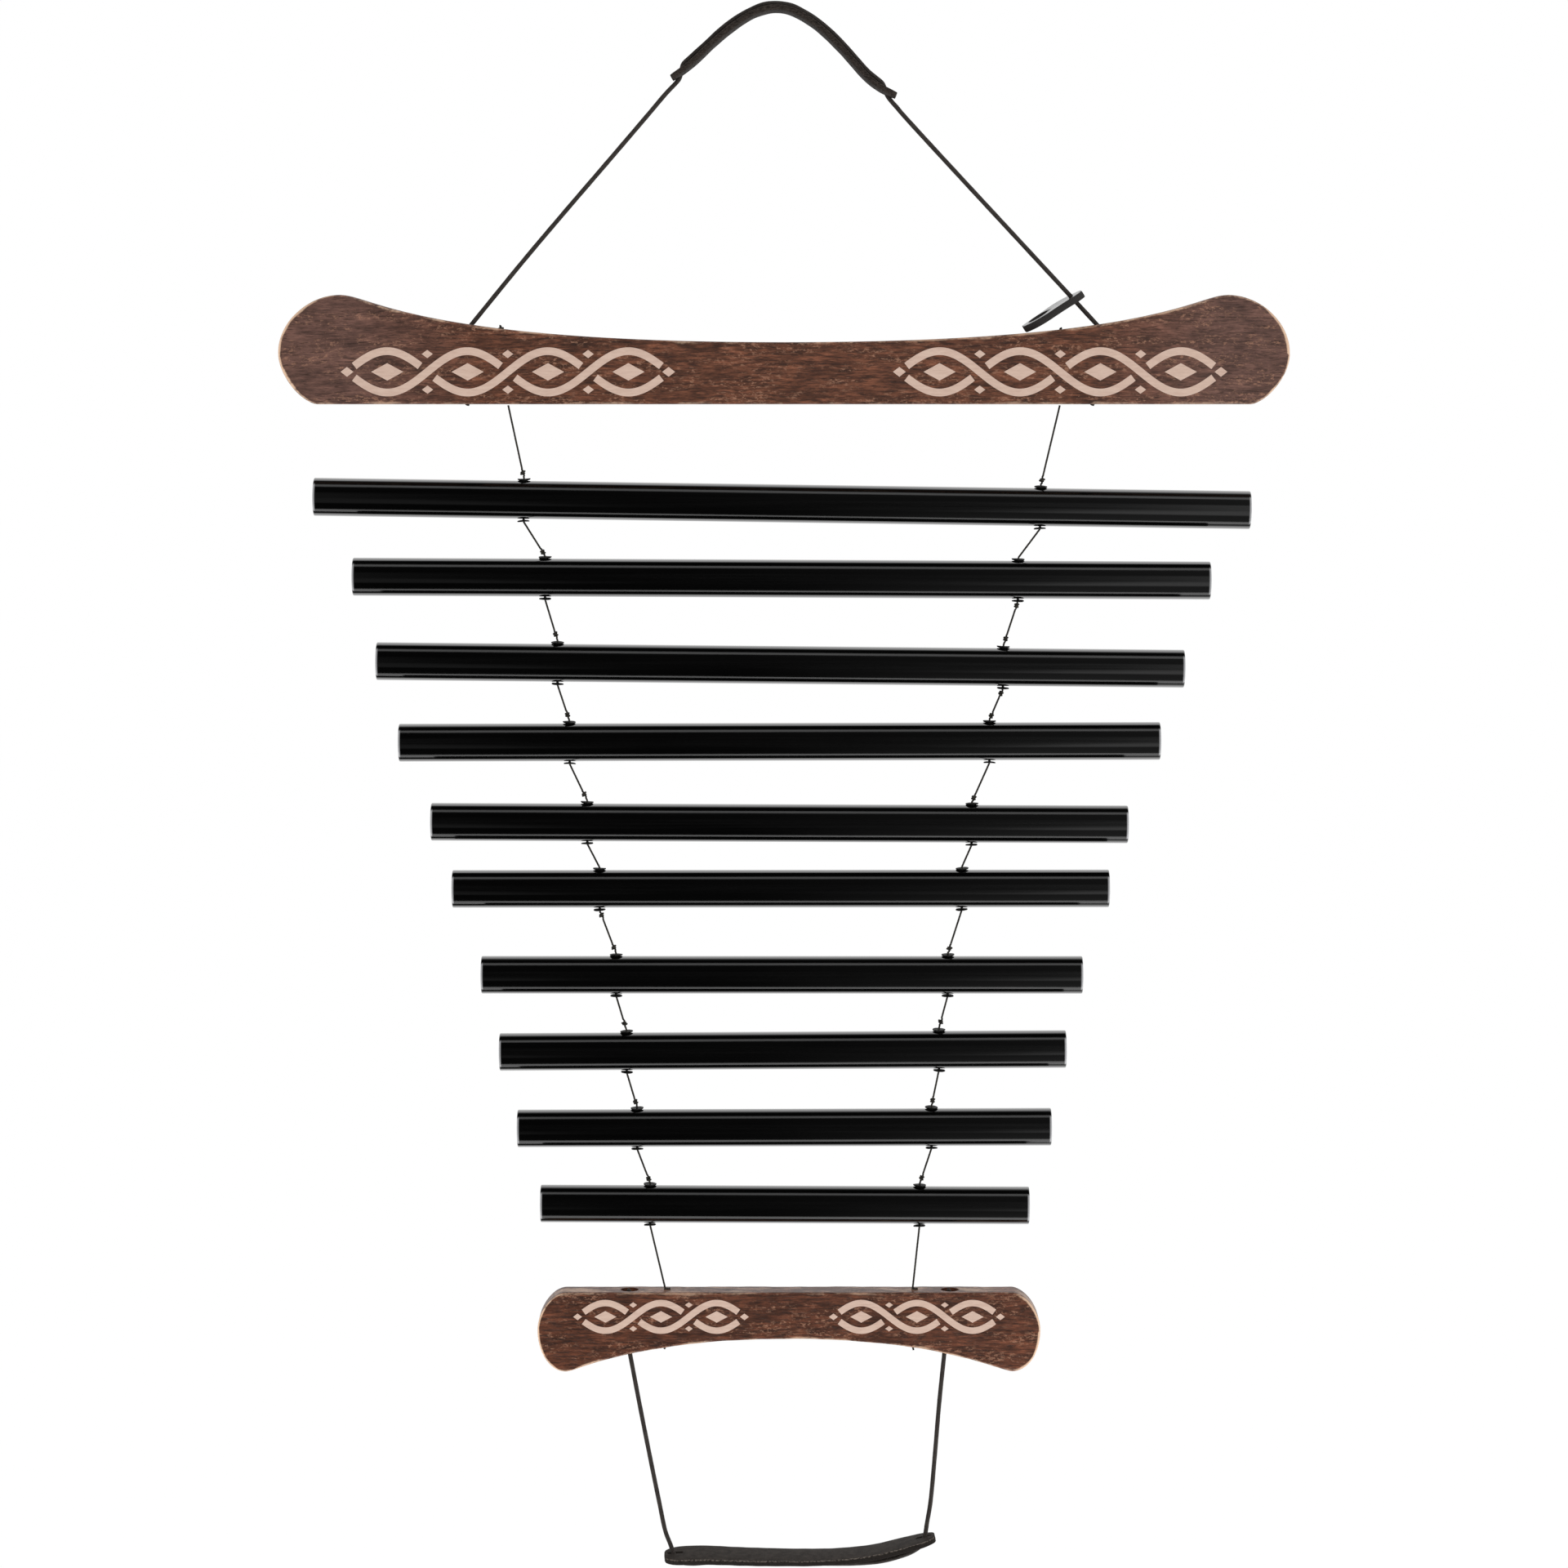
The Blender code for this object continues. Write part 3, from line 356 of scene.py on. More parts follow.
def overhand(start, stop, side, radius, turns=3.5, fold=0.42, sway=0.0, samples=150):
    """Tight overhand knot between two points, with the direction away from its middle line.

    The cord winds round the line, and its middle doubles back, so three lengths lie side by side:
    height = t - 1/2 + fold sin(2 pi t), distance from the line = radius sin(pi t)^0.6. A loose knot's
    middle line sways from one side to the other by sway sin(2 pi t).
    """
    t = np.linspace(0, 1, samples)[:, None]
    along = unit(stop - start)
    side = unit(side - along * (side @ along))
    angle = 2 * math.pi * turns * t
    outward = np.cos(angle) * side + np.sin(angle) * np.cross(along, side)
    height = t - 0.5 + fold * np.sin(2 * math.pi * t)
    away = radius * np.sin(math.pi * t) ** 0.6
    middle = (start + stop) / 2 + (stop - start) * height + sway * np.sin(2 * math.pi * t) * side
    return middle + away * outward, outward


def end_knot(inner, outer, tail_end, radius, turns):
    """Small overhand knot with a cut tail, and the directions away from the knot's middle line."""
    knot, outward = overhand(inner, outer, RIGHT, radius, turns, 0.3)
    tail = np.linspace(outer, tail_end, 8)[1:]
    return np.vstack([knot, tail]), np.vstack([outward, np.repeat(outward[-1:], len(tail), axis=0)])


def with_caps(rings):
    """Close a row of rings with the middle of its first ring and of its last one."""
    caps = [np.repeat(rings[k].mean(0)[None, None], rings.shape[1], axis=1) for k in (0, -1)]
    return np.concatenate([caps[0], rings, caps[1]])


def rod(start, end, radius, sides=48, stretch=(0.0, 0.0, 0.0)):
    """Closed straight rod, its ring drawn out by plus and minus a vector, for cutting holes."""
    start, end, stretch = (np.array(v, float) for v in (start, end, stretch))
    along = unit(end - start)
    side = unit(np.cross(along, ACROSS if abs(along[1]) < 0.9 else RIGHT))
    up = np.cross(side, along)
    angle = np.linspace(0, 2 * math.pi, sides, endpoint=False) + 0.01
    ring = radius * (np.cos(angle)[:, None] * side + np.sin(angle)[:, None] * up)
    ring = ring + np.sign(ring @ stretch)[:, None] * stretch
    rows = [start + 0 * ring, start + ring, end + ring, end + 0 * ring]
    return make_object("cutter", make_mesh("cutter", [(np.array(rows), False, True)]))


def straight_ends(node):
    """Both ends of a straight node: its points' main direction, and their reach along it."""
    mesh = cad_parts[node].data
    points = np.empty(3 * len(mesh.vertices), np.float32)
    mesh.vertices.foreach_get("co", points)
    points = points.reshape(-1, 3).astype(float)
    middle = (points.min(0) + points.max(0)) / 2
    along = np.linalg.svd(points - middle, full_matrices=False)[2][0]
    along[1] = 0.0
    along = unit(along) * np.sign(along[np.argmax(np.abs(along))])
    reach = (points - middle) @ along
    return middle + along * reach.min(), middle + along * reach.max()


# Camera

def make_camera():
    camera = make_object("camera", bpy.data.cameras.new("camera"))
    camera.location = CAMERA_PLACE
    camera.rotation_euler = (math.pi / 2 + CAMERA_PITCH, 0.0, 0.0)
    camera.data.lens = CAMERA_LENS
    camera.data.sensor_width = SENSOR
    camera.data.clip_end = 100.0
    bpy.context.scene.camera = camera


# Materials

def feed(tree, node, inputs):
    """Feed a node's inputs with values or with other nodes' outputs."""
    for key, value in inputs.items():
        if isinstance(value, bpy.types.NodeSocket):
            tree.links.new(value, node.inputs[key])
        else:
            node.inputs[key].default_value = value
    return node


def add_node(tree, kind, inputs=None, **settings):
    """Add a node, set its options, and feed its inputs."""
    node = tree.nodes.new(kind)
    for key, value in settings.items():
        setattr(node, key, value)
    return feed(tree, node, inputs or {})


def mix(tree, factor, low, high, blend="MIX"):
    node = add_node(tree, "ShaderNodeMix", {0: factor, 6: low, 7: high}, data_type="RGBA",
                    blend_type=blend)
    return node.outputs[2]


def colour(red, green, blue):
    return red, green, blue, 1.0


def maths(tree, operation, first, second=0.0):
    return add_node(tree, "ShaderNodeMath", {0: first, 1: second}, operation=operation).outputs[0]


def ramp(tree, value, low, high, to_low=0.0, to_high=1.0):
    """Value stretched from low..high to another range, clamped."""
    node = add_node(tree, "ShaderNodeMapRange", {"Value": value, "From Min": low, "From Max": high,
                                                 "To Min": to_low, "To Max": to_high})
    return node.outputs["Result"]


def stretched_noise(tree, place, stretch, detail=3.0, roughness=0.55, offset=(0.0, 0.0, 0.0)):
    """Noise whose spots are 1 / stretch metres long each way."""
    mapping = add_node(tree, "ShaderNodeMapping",
                       {"Vector": place, "Scale": stretch, "Location": offset})
    noise = add_node(tree, "ShaderNodeTexNoise", {"Vector": mapping.outputs[0], "Scale": 1.0,
                                                  "Detail": detail, "Roughness": roughness})
    return noise.outputs["Fac"]


def object_place(tree):
    return tree.nodes.new("ShaderNodeTexCoord").outputs["Object"]


def surface_mark(tree, name):
    """Value of one of the marks that make_mesh puts on a surface."""
    return add_node(tree, "ShaderNodeAttribute", attribute_name=name).outputs["Fac"]


def new_group(name, inputs, outputs):
    """Empty node group with float inputs and outputs, and its own object coordinates."""
    group = bpy.data.node_groups.new(name, "ShaderNodeTree")
    for socket, value in inputs.items():
        made = group.interface.new_socket(socket, in_out="INPUT", socket_type="NodeSocketFloat")
        made.default_value = value
    for socket in outputs:
        group.interface.new_socket(socket, in_out="OUTPUT", socket_type="NodeSocketFloat")
    given = group.nodes.new("NodeGroupInput").outputs
    return group, given, group.nodes.new("NodeGroupOutput"), object_place(group)


def make_grain_group():
    """Open wood grain along X: blotches of stain, streaks, fine fibres, short pores and pale flecks.

    Each is a noise drawn out along X, on a place whose height a slow noise bends a little, because
    grain wanders.
    """
    tree, given, result, flat_place = new_group("wood_grain", {"Pore depth": 1.0}, (
        "Blotches", "Streaks", "Fibres", "Pores", "Flecks", "Height"))
    slow = stretched_noise(tree, flat_place, (9.0, 30.0, 35.0), 2.0, 0.5, (2.0, 4.0, 0.0))
    rise = maths(tree, "MULTIPLY", maths(tree, "SUBTRACT", slow, 0.5), 0.005)
    lift = add_node(tree, "ShaderNodeCombineXYZ", {"Z": rise})
    place = add_node(tree, "ShaderNodeVectorMath", {0: flat_place, 1: lift.outputs[0]},
                     operation="ADD").outputs[0]
    blotches = stretched_noise(tree, place, (48.0, 90.0, 110.0), 5.0, 0.62, (3.0, 0.0, 1.0))
    streaks = stretched_noise(tree, place, (105.0, 450.0, 600.0), 6.0, 0.72)
    fibres = stretched_noise(tree, place, (120.0, 900.0, 1150.0), 3.0, 0.65, (0.0, 5.0, 2.0))
    dashes = stretched_noise(tree, place, (170.0, 1500.0, 1500.0), 2.0, 0.5, (4.0, 1.0, 6.0))
    specks = stretched_noise(tree, place, (360.0, 800.0, 800.0), 3.0, 0.7, (7.0, 1.0, 0.0))
    patches = stretched_noise(tree, place, (28.0, 110.0, 130.0), 3.0, 0.6, (1.0, 8.0, 3.0))
    pores = maths(tree, "MULTIPLY", ramp(tree, dashes, 0.58, 0.68), given["Pore depth"])
    flecks = maths(tree, "MULTIPLY", ramp(tree, specks, 0.53, 0.64), ramp(tree, patches, 0.44, 0.58))
    height = maths(tree, "SUBTRACT", ramp(tree, fibres, 0.3, 0.7, 0.0, 0.4), pores)
    feed(tree, result, {"Blotches": blotches, "Streaks": streaks, "Fibres": fibres, "Pores": pores,
                        "Flecks": flecks, "Height": height})
    return tree


def make_wear_group():
    """Edge wear, and painted light where the narrow sides of the bars share the mark: the mark on the
    edge, eaten into by a fine and a coarse noise.
    """
    tree, given, result, place = new_group("edge_wear_and_light", {"Edge": 0.0, "Spread": 0.5}, ("Wear",))
    coarse = stretched_noise(tree, place, (45.0, 90.0, 90.0), 3.0, 0.6, (1.0, 2.0, 3.0))
    fine = stretched_noise(tree, place, (500.0, 900.0, 900.0), 2.0, 0.6)
    broken = maths(tree, "ADD", ramp(tree, coarse, 0.35, 0.65, 0.0, 0.8),
                   ramp(tree, fine, 0.3, 0.7, 0.0, 0.35))
    reach = maths(tree, "SUBTRACT", maths(tree, "ADD", given["Edge"], given["Spread"]), broken)
    feed(tree, result, {"Wear": maths(tree, "MULTIPLY", ramp(tree, reach, 0.25, 0.70), given["Edge"])})
    return tree


def make_hide_group():
    """Leather grain: small creased cells, with longer folds over them."""
    tree, given, result, place = new_group("hide_grain", {"Cell rate": 1400.0},
                                           ("Cells", "Folds", "Height"))
    cells = add_node(tree, "ShaderNodeTexVoronoi", {"Vector": place, "Scale": given["Cell rate"]},
                     feature="DISTANCE_TO_EDGE").outputs["Distance"]
    folds = stretched_noise(tree, place, (260.0, 260.0, 260.0), 4.0, 0.6)
    creased = ramp(tree, cells, 0.0, 0.12)
    rise = maths(tree, "ADD", maths(tree, "MULTIPLY", creased, 0.5), folds)
    feed(tree, result, {"Cells": creased, "Folds": folds, "Height": rise})
    return tree


def new_material(name):
    material = bpy.data.materials.new(name)
    material.use_nodes = True
    return material, material.node_tree, material.node_tree.nodes["Principled BSDF"]


def use_group(tree, group, inputs):
    return add_node(tree, "ShaderNodeGroup", inputs, node_tree=group).outputs


def bump(tree, shader, height, distance):
    node = add_node(tree, "ShaderNodeBump", {"Height": height, "Distance": distance, "Strength": 1.0})
    tree.links.new(node.outputs["Normal"], shader.inputs["Normal"])


def stained_wood(name, brown):
    """Dark stain over open grain, rubbed pale along the edges, and paler on the narrow sides, partly as
    painted light on the top faces. Where the mark says so, the stain is greyer and the grain quieter."""
    material, tree, shader = new_material(name)
    grain = use_group(tree, grain_group, {"Pore depth": 1.0})
    grey = surface_mark(tree, "grey")
    # The edge mark gives rubbed edges, and on the narrow sides painted light as well as wear
    wear = use_group(tree, wear_group, {"Edge": surface_mark(tree, "edge"), "Spread": 0.55})["Wear"]
    loudness = ramp(tree, grey, 0.0, 1.0, 1.0, 0.5)
    stain = mix(tree, grey, colour(*brown), colour(*LOBE_GREY_BROWN))
    tone = mix(tree, 1.0, stain, ramp(tree, grain["Blotches"], 0.38, 0.62, 0.74, 1.28), "MULTIPLY")
    tone = mix(tree, loudness, tone, ramp(tree, grain["Streaks"], 0.40, 0.60, 0.57, 1.48), "MULTIPLY")
    tone = mix(tree, loudness, tone, ramp(tree, grain["Fibres"], 0.38, 0.62, 0.64, 1.40), "MULTIPLY")
    tone = mix(tree, maths(tree, "MULTIPLY", grain["Flecks"], 0.6), tone, colour(0.44, 0.225, 0.140))
    tone = mix(tree, maths(tree, "MULTIPLY", grain["Pores"], 0.7), tone, colour(0.036, 0.016, 0.010))
    worn = mix(tree, wear, tone, colour(0.85, 0.58, 0.40))
    rough = ramp(tree, grain["Streaks"], 0.3, 0.7, 0.46, 0.32)
    feed(tree, shader, {"Base Color": worn, "Roughness": rough, "Specular IOR Level": 0.22})
    bump(tree, shader, grain["Height"], 0.00010)
    return material


def pale_inlay():
    """Bare pale wood of the ornament, with the same grain showing faintly."""
    material, tree, shader = new_material("pale_inlay")
    grain = use_group(tree, grain_group, {"Pore depth": 0.6})
    base = mix(tree, ramp(tree, grain["Streaks"], 0.35, 0.65), colour(0.64, 0.445, 0.355),
               colour(0.72, 0.53, 0.43))
    pored = mix(tree, maths(tree, "MULTIPLY", grain["Pores"], 0.3), base, colour(0.40, 0.25, 0.18))
    feed(tree, shader, {"Base Color": pored, "Roughness": 0.6})
    bump(tree, shader, grain["Height"], 0.00006)
    return material


def black_anodised():
    """Polished black tube: a faint brushed unevenness along X in its gloss, glossier where it is seen
    from the side, and pale grey on the rounded ends where the mark says so. That grey is partly uncoated
    metal and partly a painted highlight: the mark keeps it to the front and back of the ends, where it
    shows as a bright strip at mid-height."""
    material, tree, shader = new_material("black_anodised")
    place = object_place(tree)
    brushed = stretched_noise(tree, place, (9.0, 900.0, 900.0), 4.0, 0.6)
    cloudy = stretched_noise(tree, place, (12.0, 60.0, 60.0), 2.0, 0.5)
    black = mix(tree, ramp(tree, cloudy, 0.3, 0.7), colour(0.0006, 0.0006, 0.0006),
                colour(0.0012, 0.0012, 0.0012))
    facing = add_node(tree, "ShaderNodeLayerWeight", {"Blend": 0.5}).outputs["Facing"]
    # Pale grey on the marked ends: partly uncoated metal, partly a painted highlight
    bare = mix(tree, surface_mark(tree, "edge"), black, colour(0.40, 0.40, 0.41))
    feed(tree, shader, {"Base Color": bare, "Roughness": ramp(tree, brushed, 0.3, 0.7, 0.09, 0.15),
                        "Specular IOR Level": 0.25, "Coat Weight": ramp(tree, facing, 0.42, 0.52),
                        "Coat Roughness": 0.05, "Coat IOR": 2.0})
    bump(tree, shader, brushed, 0.000004)
    return material


def black_leather(name, tones, cell_rate, polish, sheen, relief):
    """Dyed leather: a dark grain side, and a fibrous cut edge with a broken seam where the marks say
    so. Its tones are the dark and light of the grain side, the cut edge and the seam, and polish is
    the grain side's roughness. The cut edge's tone is that of raw leather, but on the pull strap it is
    painted shade, darker than the grain side."""
    material, tree, shader = new_material(name)
    dark, light, raw, seam_tone = (colour(*tone) for tone in tones)
    hide = use_group(tree, hide_group, {"Cell rate": cell_rate})
    place = object_place(tree)
    edge = surface_mark(tree, "edge")
    fibres = stretched_noise(tree, place, (500.0, 1500.0, 1500.0), 4.0, 0.7)
    gaps = stretched_noise(tree, place, (900.0, 900.0, 900.0), 2.0, 0.5, (2.0, 5.0, 1.0))
    grain_side = mix(tree, ramp(tree, hide["Folds"], 0.35, 0.65), dark, light)
    # Cut side: raw leather, and on the pull strap painted shade darker than the grain side
    cut_side_and_shade = mix(tree, ramp(tree, fibres, 0.38, 0.62), dark, raw)
    both = mix(tree, edge, grain_side, cut_side_and_shade)
    stitches = maths(tree, "MULTIPLY", surface_mark(tree, "seam"), ramp(tree, gaps, 0.42, 0.60))
    seamed = mix(tree, stitches, both, seam_tone)
    creased = mix(tree, ramp(tree, hide["Cells"], 0.0, 1.0, 0.4, 0.0), seamed, dark)
    feed(tree, shader, {"Base Color": creased, "Roughness": ramp(tree, edge, 0.0, 1.0, polish, 0.85),
                        "Specular IOR Level": sheen})
    bump(tree, shader, mix(tree, edge, hide["Height"], fibres), relief)
    return material


def dull_black(name, stretch, detail, turns_light, dark, light, rough, sheen, relief):
    """Dull black string or fibre, lighter and rougher where a noise leaves it dusty or rubbed."""
    material, tree, shader = new_material(name)
    dusty = stretched_noise(tree, object_place(tree), stretch, detail, 0.6)
    tone = mix(tree, ramp(tree, dusty, *turns_light), colour(*dark), colour(*light))
    feed(tree, shader, {"Base Color": tone, "Roughness": ramp(tree, dusty, 0.3, 0.7, *rough),
                        "Specular IOR Level": sheen})
    bump(tree, shader, dusty, relief)
    return material


# Cords

def add_round_leather(name, path, radii, body, material, sides=20, reference=ACROSS, cut=0.15,
                      replaced=()):
    """Round leather along a path, its surface a little like the cut side."""
    rings = sweep(path, radii, sides, reference)
    marks = {"edge": [np.full(rings.shape[:2], cut)]}
    return add_piece(name, [(rings, False, True)], material, body, marks, replaced=replaced)


def make_cord(name, ends_mm, route_mm, body, material):
    """Round leather cord along its route, slightly uneven, with a half ball at each end."""
    path = evenly(curve_through(in_plane((ends_mm[0], *route_mm, ends_mm[1])), 24), CORD_STEP)
    distance = distances_along(path)
    uneven = ripple(distance, (0.012, 61, 0.1), (0.010, 143, 0.4), (0.006, 317, 0.7))
    radii = CORD_DIAMETER / 2 * (1 + uneven)
    piece = add_round_leather(name + "_leather", *with_round_ends(path, radii), body, material,
                              replaced=(name,))


def make_cord_knot(name, x, edge_z, up, depths, body, material):
    """End knot of a leather cord, sunk in its counterbore, its cut tail towards the open side."""
    inner, outer, tip = (
        np.array((x - aside, 0.0, edge_z + up * depth))
        for aside, depth in zip((0.0, 0.0, 0.0012), (COUNTERBORE_DEPTH - 0.0004, *depths)))
    path, reference = end_knot(inner, outer, tip, CORD_KNOT_RADIUS, 1.5)
    radii = np.full(len(path), 0.46 * CORD_DIAMETER)
    path, radii, reference = with_round_ends(path, radii, reference, 0.3)
    add_round_leather(name, path, radii, body, material, 14, reference, 0.2)


def make_cord_stub(name, leg, body, material):
    """The last of a cord inside its hole in a bar, carrying on in the leg's own direction."""
    end, before = leg
    path = np.linspace(end, end + unit(end - before) * CORD_STUB_LENGTH, 7)
    path, radii = with_round_ends(path, np.full(len(path), 0.97 * CORD_DIAMETER / 2))
    add_round_leather(name, path, radii, body, material)


# Grips

def strap_half_width(distance, length):
    """Half width: full in the middle, elliptic towards both tips."""
    from_tip = np.minimum(distance, length - distance).clip(0, STRAP_TIP_LENGTH)
    share = np.sqrt(1 - (1 - from_tip / STRAP_TIP_LENGTH) ** 2)
    return STRAP_TIP_WIDTH / 2 + (STRAP_WIDTH - STRAP_TIP_WIDTH) / 2 * share


def make_strap(name, line_mm, cord_side, curl, roll, seam_at, body, material):
    """Leather tongue: a rounded oblong section carried along the line, closed at both tips.

    The section's half width and half thickness go with cos and sin of one angle, each to a power
    below one, which squares the section. The cord presses a shallow groove into cord_side, and the
    edges curl towards it by up to curl, with the square of the distance from the middle. The strap is
    rolled about its line, by roll at the left end and less and less to the right. The seam lies at the
    share seam_at of the half thickness.
    """
    line = curve_through(in_plane(line_mm), 24)
    length = distances_along(line)[-1]
    share = np.linspace(0, 1, 181)
    marks = length * (0.35 * (0.5 - 0.5 * np.cos(math.pi * share)) + 0.65 * share)
    path = at_distances(line, marks)
    along = unit(np.gradient(path, axis=0))
    upward = np.cross(along, ACROSS)
    angle = np.linspace(0, 2 * math.pi, 104, endpoint=False)
    angle = angle - 0.44 * np.sin(2 * angle)
    wide, thick = (np.sign(wave) * np.abs(wave) ** power
                   for wave, power in zip((np.cos(angle), np.sin(angle)), STRAP_POWERS))
    uneven = ripple(marks, (0.00012, 37, 0.2), (0.00008, 83, 0.6))
    half_width = strap_half_width(marks, length) + uneven
    y = half_width[:, None] * wide[None]
    z = np.repeat(STRAP_THICKNESS / 2 * thick[None], len(marks), axis=0)
    z = z * (1 + ripple(marks, (0.02, 45, 0.3), (0.015, 101, 0.8)))[:, None]
    pressed = np.exp(-(y / 0.0017) ** 2) * (thick[None] * cord_side > 0)
    z = z - cord_side * STRAP_GROOVE * pressed + cord_side * curl * (2 * y / STRAP_WIDTH) ** 2
    turned = roll * (1 - marks / length)[:, None]
    y, z = y * np.cos(turned) - z * np.sin(turned), y * np.sin(turned) + z * np.cos(turned)
    rings = path[:, None] + y[..., None] * ACROSS + z[..., None] * upward[:, None]
    shrink = np.array((0.0, 0.5, 0.85))[:, None, None]
    first = path[0] + shrink * (rings[0] - path[0]) - 0.0001 * (1 - shrink) * along[0]
    last = path[-1] + shrink[::-1] * (rings[-1] - path[-1]) + 0.0001 * (1 - shrink[::-1]) * along[-1]
    grid = np.concatenate([first, rings, last])
    edge = np.clip((np.abs(wide) - 0.93) / 0.05, 0, 1)[None] * np.ones((len(marks), 1))
    seam = (np.abs(wide) > 0.9) * np.exp(-((thick - seam_at) / 0.16) ** 2) * np.ones((len(marks), 1))
    caps = np.ones((3, len(angle)))
    surface = {"edge": [np.concatenate([caps, edge, caps])],
               "seam": [np.concatenate([0 * caps, seam, 0 * caps])]}
    cutters = []
    for mark in (STRAP_SLOT_FROM_TIP, length - STRAP_SLOT_FROM_TIP):
        centre = at_distances(line, [mark])[0]
        direction = unit(at_distances(line, [mark + 0.001])[0] - at_distances(line, [mark - 0.001])[0])
        through = np.cross(direction, ACROSS) * 3 * STRAP_THICKNESS
        cutters.append(rod(centre - through, centre + through, LEATHER_HOLE_RADIUS, 32,
                           direction * STRAP_SLOT_LENGTH / 2))
    add_piece(name + "_leather", [(grid, False, True)], material, body, surface, cutters,
              (name,), 40)


def make_slider(material):
    """Oval tab round its eye: a closed section between the eye and the outline, turned round the eye.

    The outline is an ellipse with both tips cut off square. The section runs out over the top face,
    round the outer edge, back under the tab and up the eye's wall.
    """
    angle = np.linspace(0, 2 * math.pi, 120, endpoint=False)
    half_length, half_width = SLIDER_LENGTH / 2, SLIDER_WIDTH / 2
    half, small = SLIDER_THICKNESS / 2, SLIDER_EDGE_ROUND
    eye_x = SLIDER_EYE_FROM_END - half_length
    outline = np.stack([np.clip(1.035 * half_length * np.cos(angle), -half_length, half_length),
                        half_width * np.sin(angle)], axis=1)
    bearing = np.arctan2(outline[:, 1], outline[:, 0] - eye_x)
    eye = SLIDER_EYE_RADIUS * np.stack([np.cos(bearing), np.sin(bearing)], axis=1) + (eye_x, 0.0)
    flat = np.linspace(0.0, 1.0, 7)[:-1]
    bend = np.radians(np.linspace(90, -90, 9))
    out = np.concatenate([flat, np.ones(len(bend)), flat[::-1]])
    inset = np.pad(small * (1 - np.cos(bend)), len(flat))
    rim = (half - small) * np.sign(bend.round(6)) + small * np.sin(bend)
    rise = np.concatenate([np.full(len(flat), half), rim, np.full(len(flat), -half)])
    eye_edge = np.where(flat == 0, 0.7, 0.0)
    edge = np.concatenate([eye_edge, np.clip(1.6 * np.cos(bend), 0, 1), eye_edge[::-1]])
    middle = (1 - out)[:, None, None] * eye[None] + out[:, None, None] * outline[None]
    inward = unit(eye - outline)
    flat_places = middle + inset[:, None, None] * inward[None]
    height = rise[:, None] + 0.00025 * np.sin(flat_places[..., 0] * 190 + 0.6) * out[:, None]
    hole = in_plane((SLIDER_HOLE_MM,))[0]
    place = (Matrix.Translation(hole) @ Matrix.Rotation(-SLIDER_RISE, 4, "Y")
             @ Matrix.Translation((SLIDER_HOLE_FROM_END - SLIDER_LENGTH / 2, 0.0, 0.0))
             @ Matrix.Rotation(SLIDER_ROLL, 4, "X"))
    local = np.concatenate([flat_places, height[..., None], np.ones(height.shape + (1,))], axis=2)
    grid = (local @ np.array(place).T)[..., :3]
    edge = np.repeat(edge[:, None], len(angle), axis=1)
    leg = in_plane((HANGING_ENDS_MM[1], HANGING_ROUTE_MM[-1]))
    reach = 4 * SLIDER_THICKNESS * unit(leg[1] - leg[0])
    add_piece("slider_leather", [(grid, True, True)], material, "slider", {"edge": [edge]},
              [rod(hole - reach, hole + reach, LEATHER_HOLE_RADIUS, 32)], ("cord_slider",), 40)


# Bars

def bezier_outline(spans, samples=200):
    """Points along cubic Bezier spans, each (start, leaving handle, arriving handle, end)."""
    t = np.linspace(0, 1, samples, endpoint=False)[None, :, None]
    a, b, c, d = (np.array([span[k] for span in spans])[:, None] for k in range(4))
    curve = (1 - t) ** 3 * a + 3 * t * (1 - t) ** 2 * b + 3 * t * t * (1 - t) * c + t ** 3 * d
    return curve.reshape(-1, 2)


def top_bar_half():
    """Right half of the top bar: flat underside, raised lobe, long hollow top."""
    reach, belly, waist = TOP_BAR_HALF_LENGTH, 0.0293, 0.0354
    lobe_x, lobe_z = 0.2537, 0.0623
    return [
        ((0.0, 0.0), (0.1, 0.0), (0.258, 0.0), (0.268, 0.0)),
        ((0.268, 0.0), (0.278, 0.0022), (reach, belly - 0.0125), (reach, belly)),
        ((reach, belly), (reach, 0.04646), (0.27232, lobe_z), (lobe_x, lobe_z)),
        ((lobe_x, lobe_z), (0.23746, lobe_z), (0.21057, waist), (0.0, waist))]


def bottom_bar_half():
    """Right half of the bottom bar: hollow underside, hanging lobe, flat top."""
    reach, belly, waist = BOTTOM_BAR_HALF_LENGTH, -0.0225, -0.0276
    lobe_x, lobe_z = 0.1305, -0.047
    return [
        ((0.0, waist), (0.08874, waist), (0.12463, lobe_z), (lobe_x, lobe_z)),
        ((lobe_x, lobe_z), (0.14073, lobe_z), (reach, -0.03475), (reach, belly)),
        ((reach, belly), (reach, -0.0105), (0.1375, 0.0), (0.1305, 0.0)),
        ((0.1305, 0.0), (0.12, 0.0), (0.05, 0.0), (0.0, 0.0))]


def edges_at(half, x):
    """Heights of the lower and upper edge at x, read from a half outline that starts at X = 0."""
    points = bezier_outline(half)
    points = np.vstack([points, (0.0, half[-1][-1][1])])
    tip = np.argmax(points[:, 0])
    lower = np.interp(np.abs(x), points[:tip + 1, 0], points[:tip + 1, 1])
    upper = np.interp(np.abs(x), points[tip:, 0][::-1], points[tip:, 1][::-1])
    return lower, upper


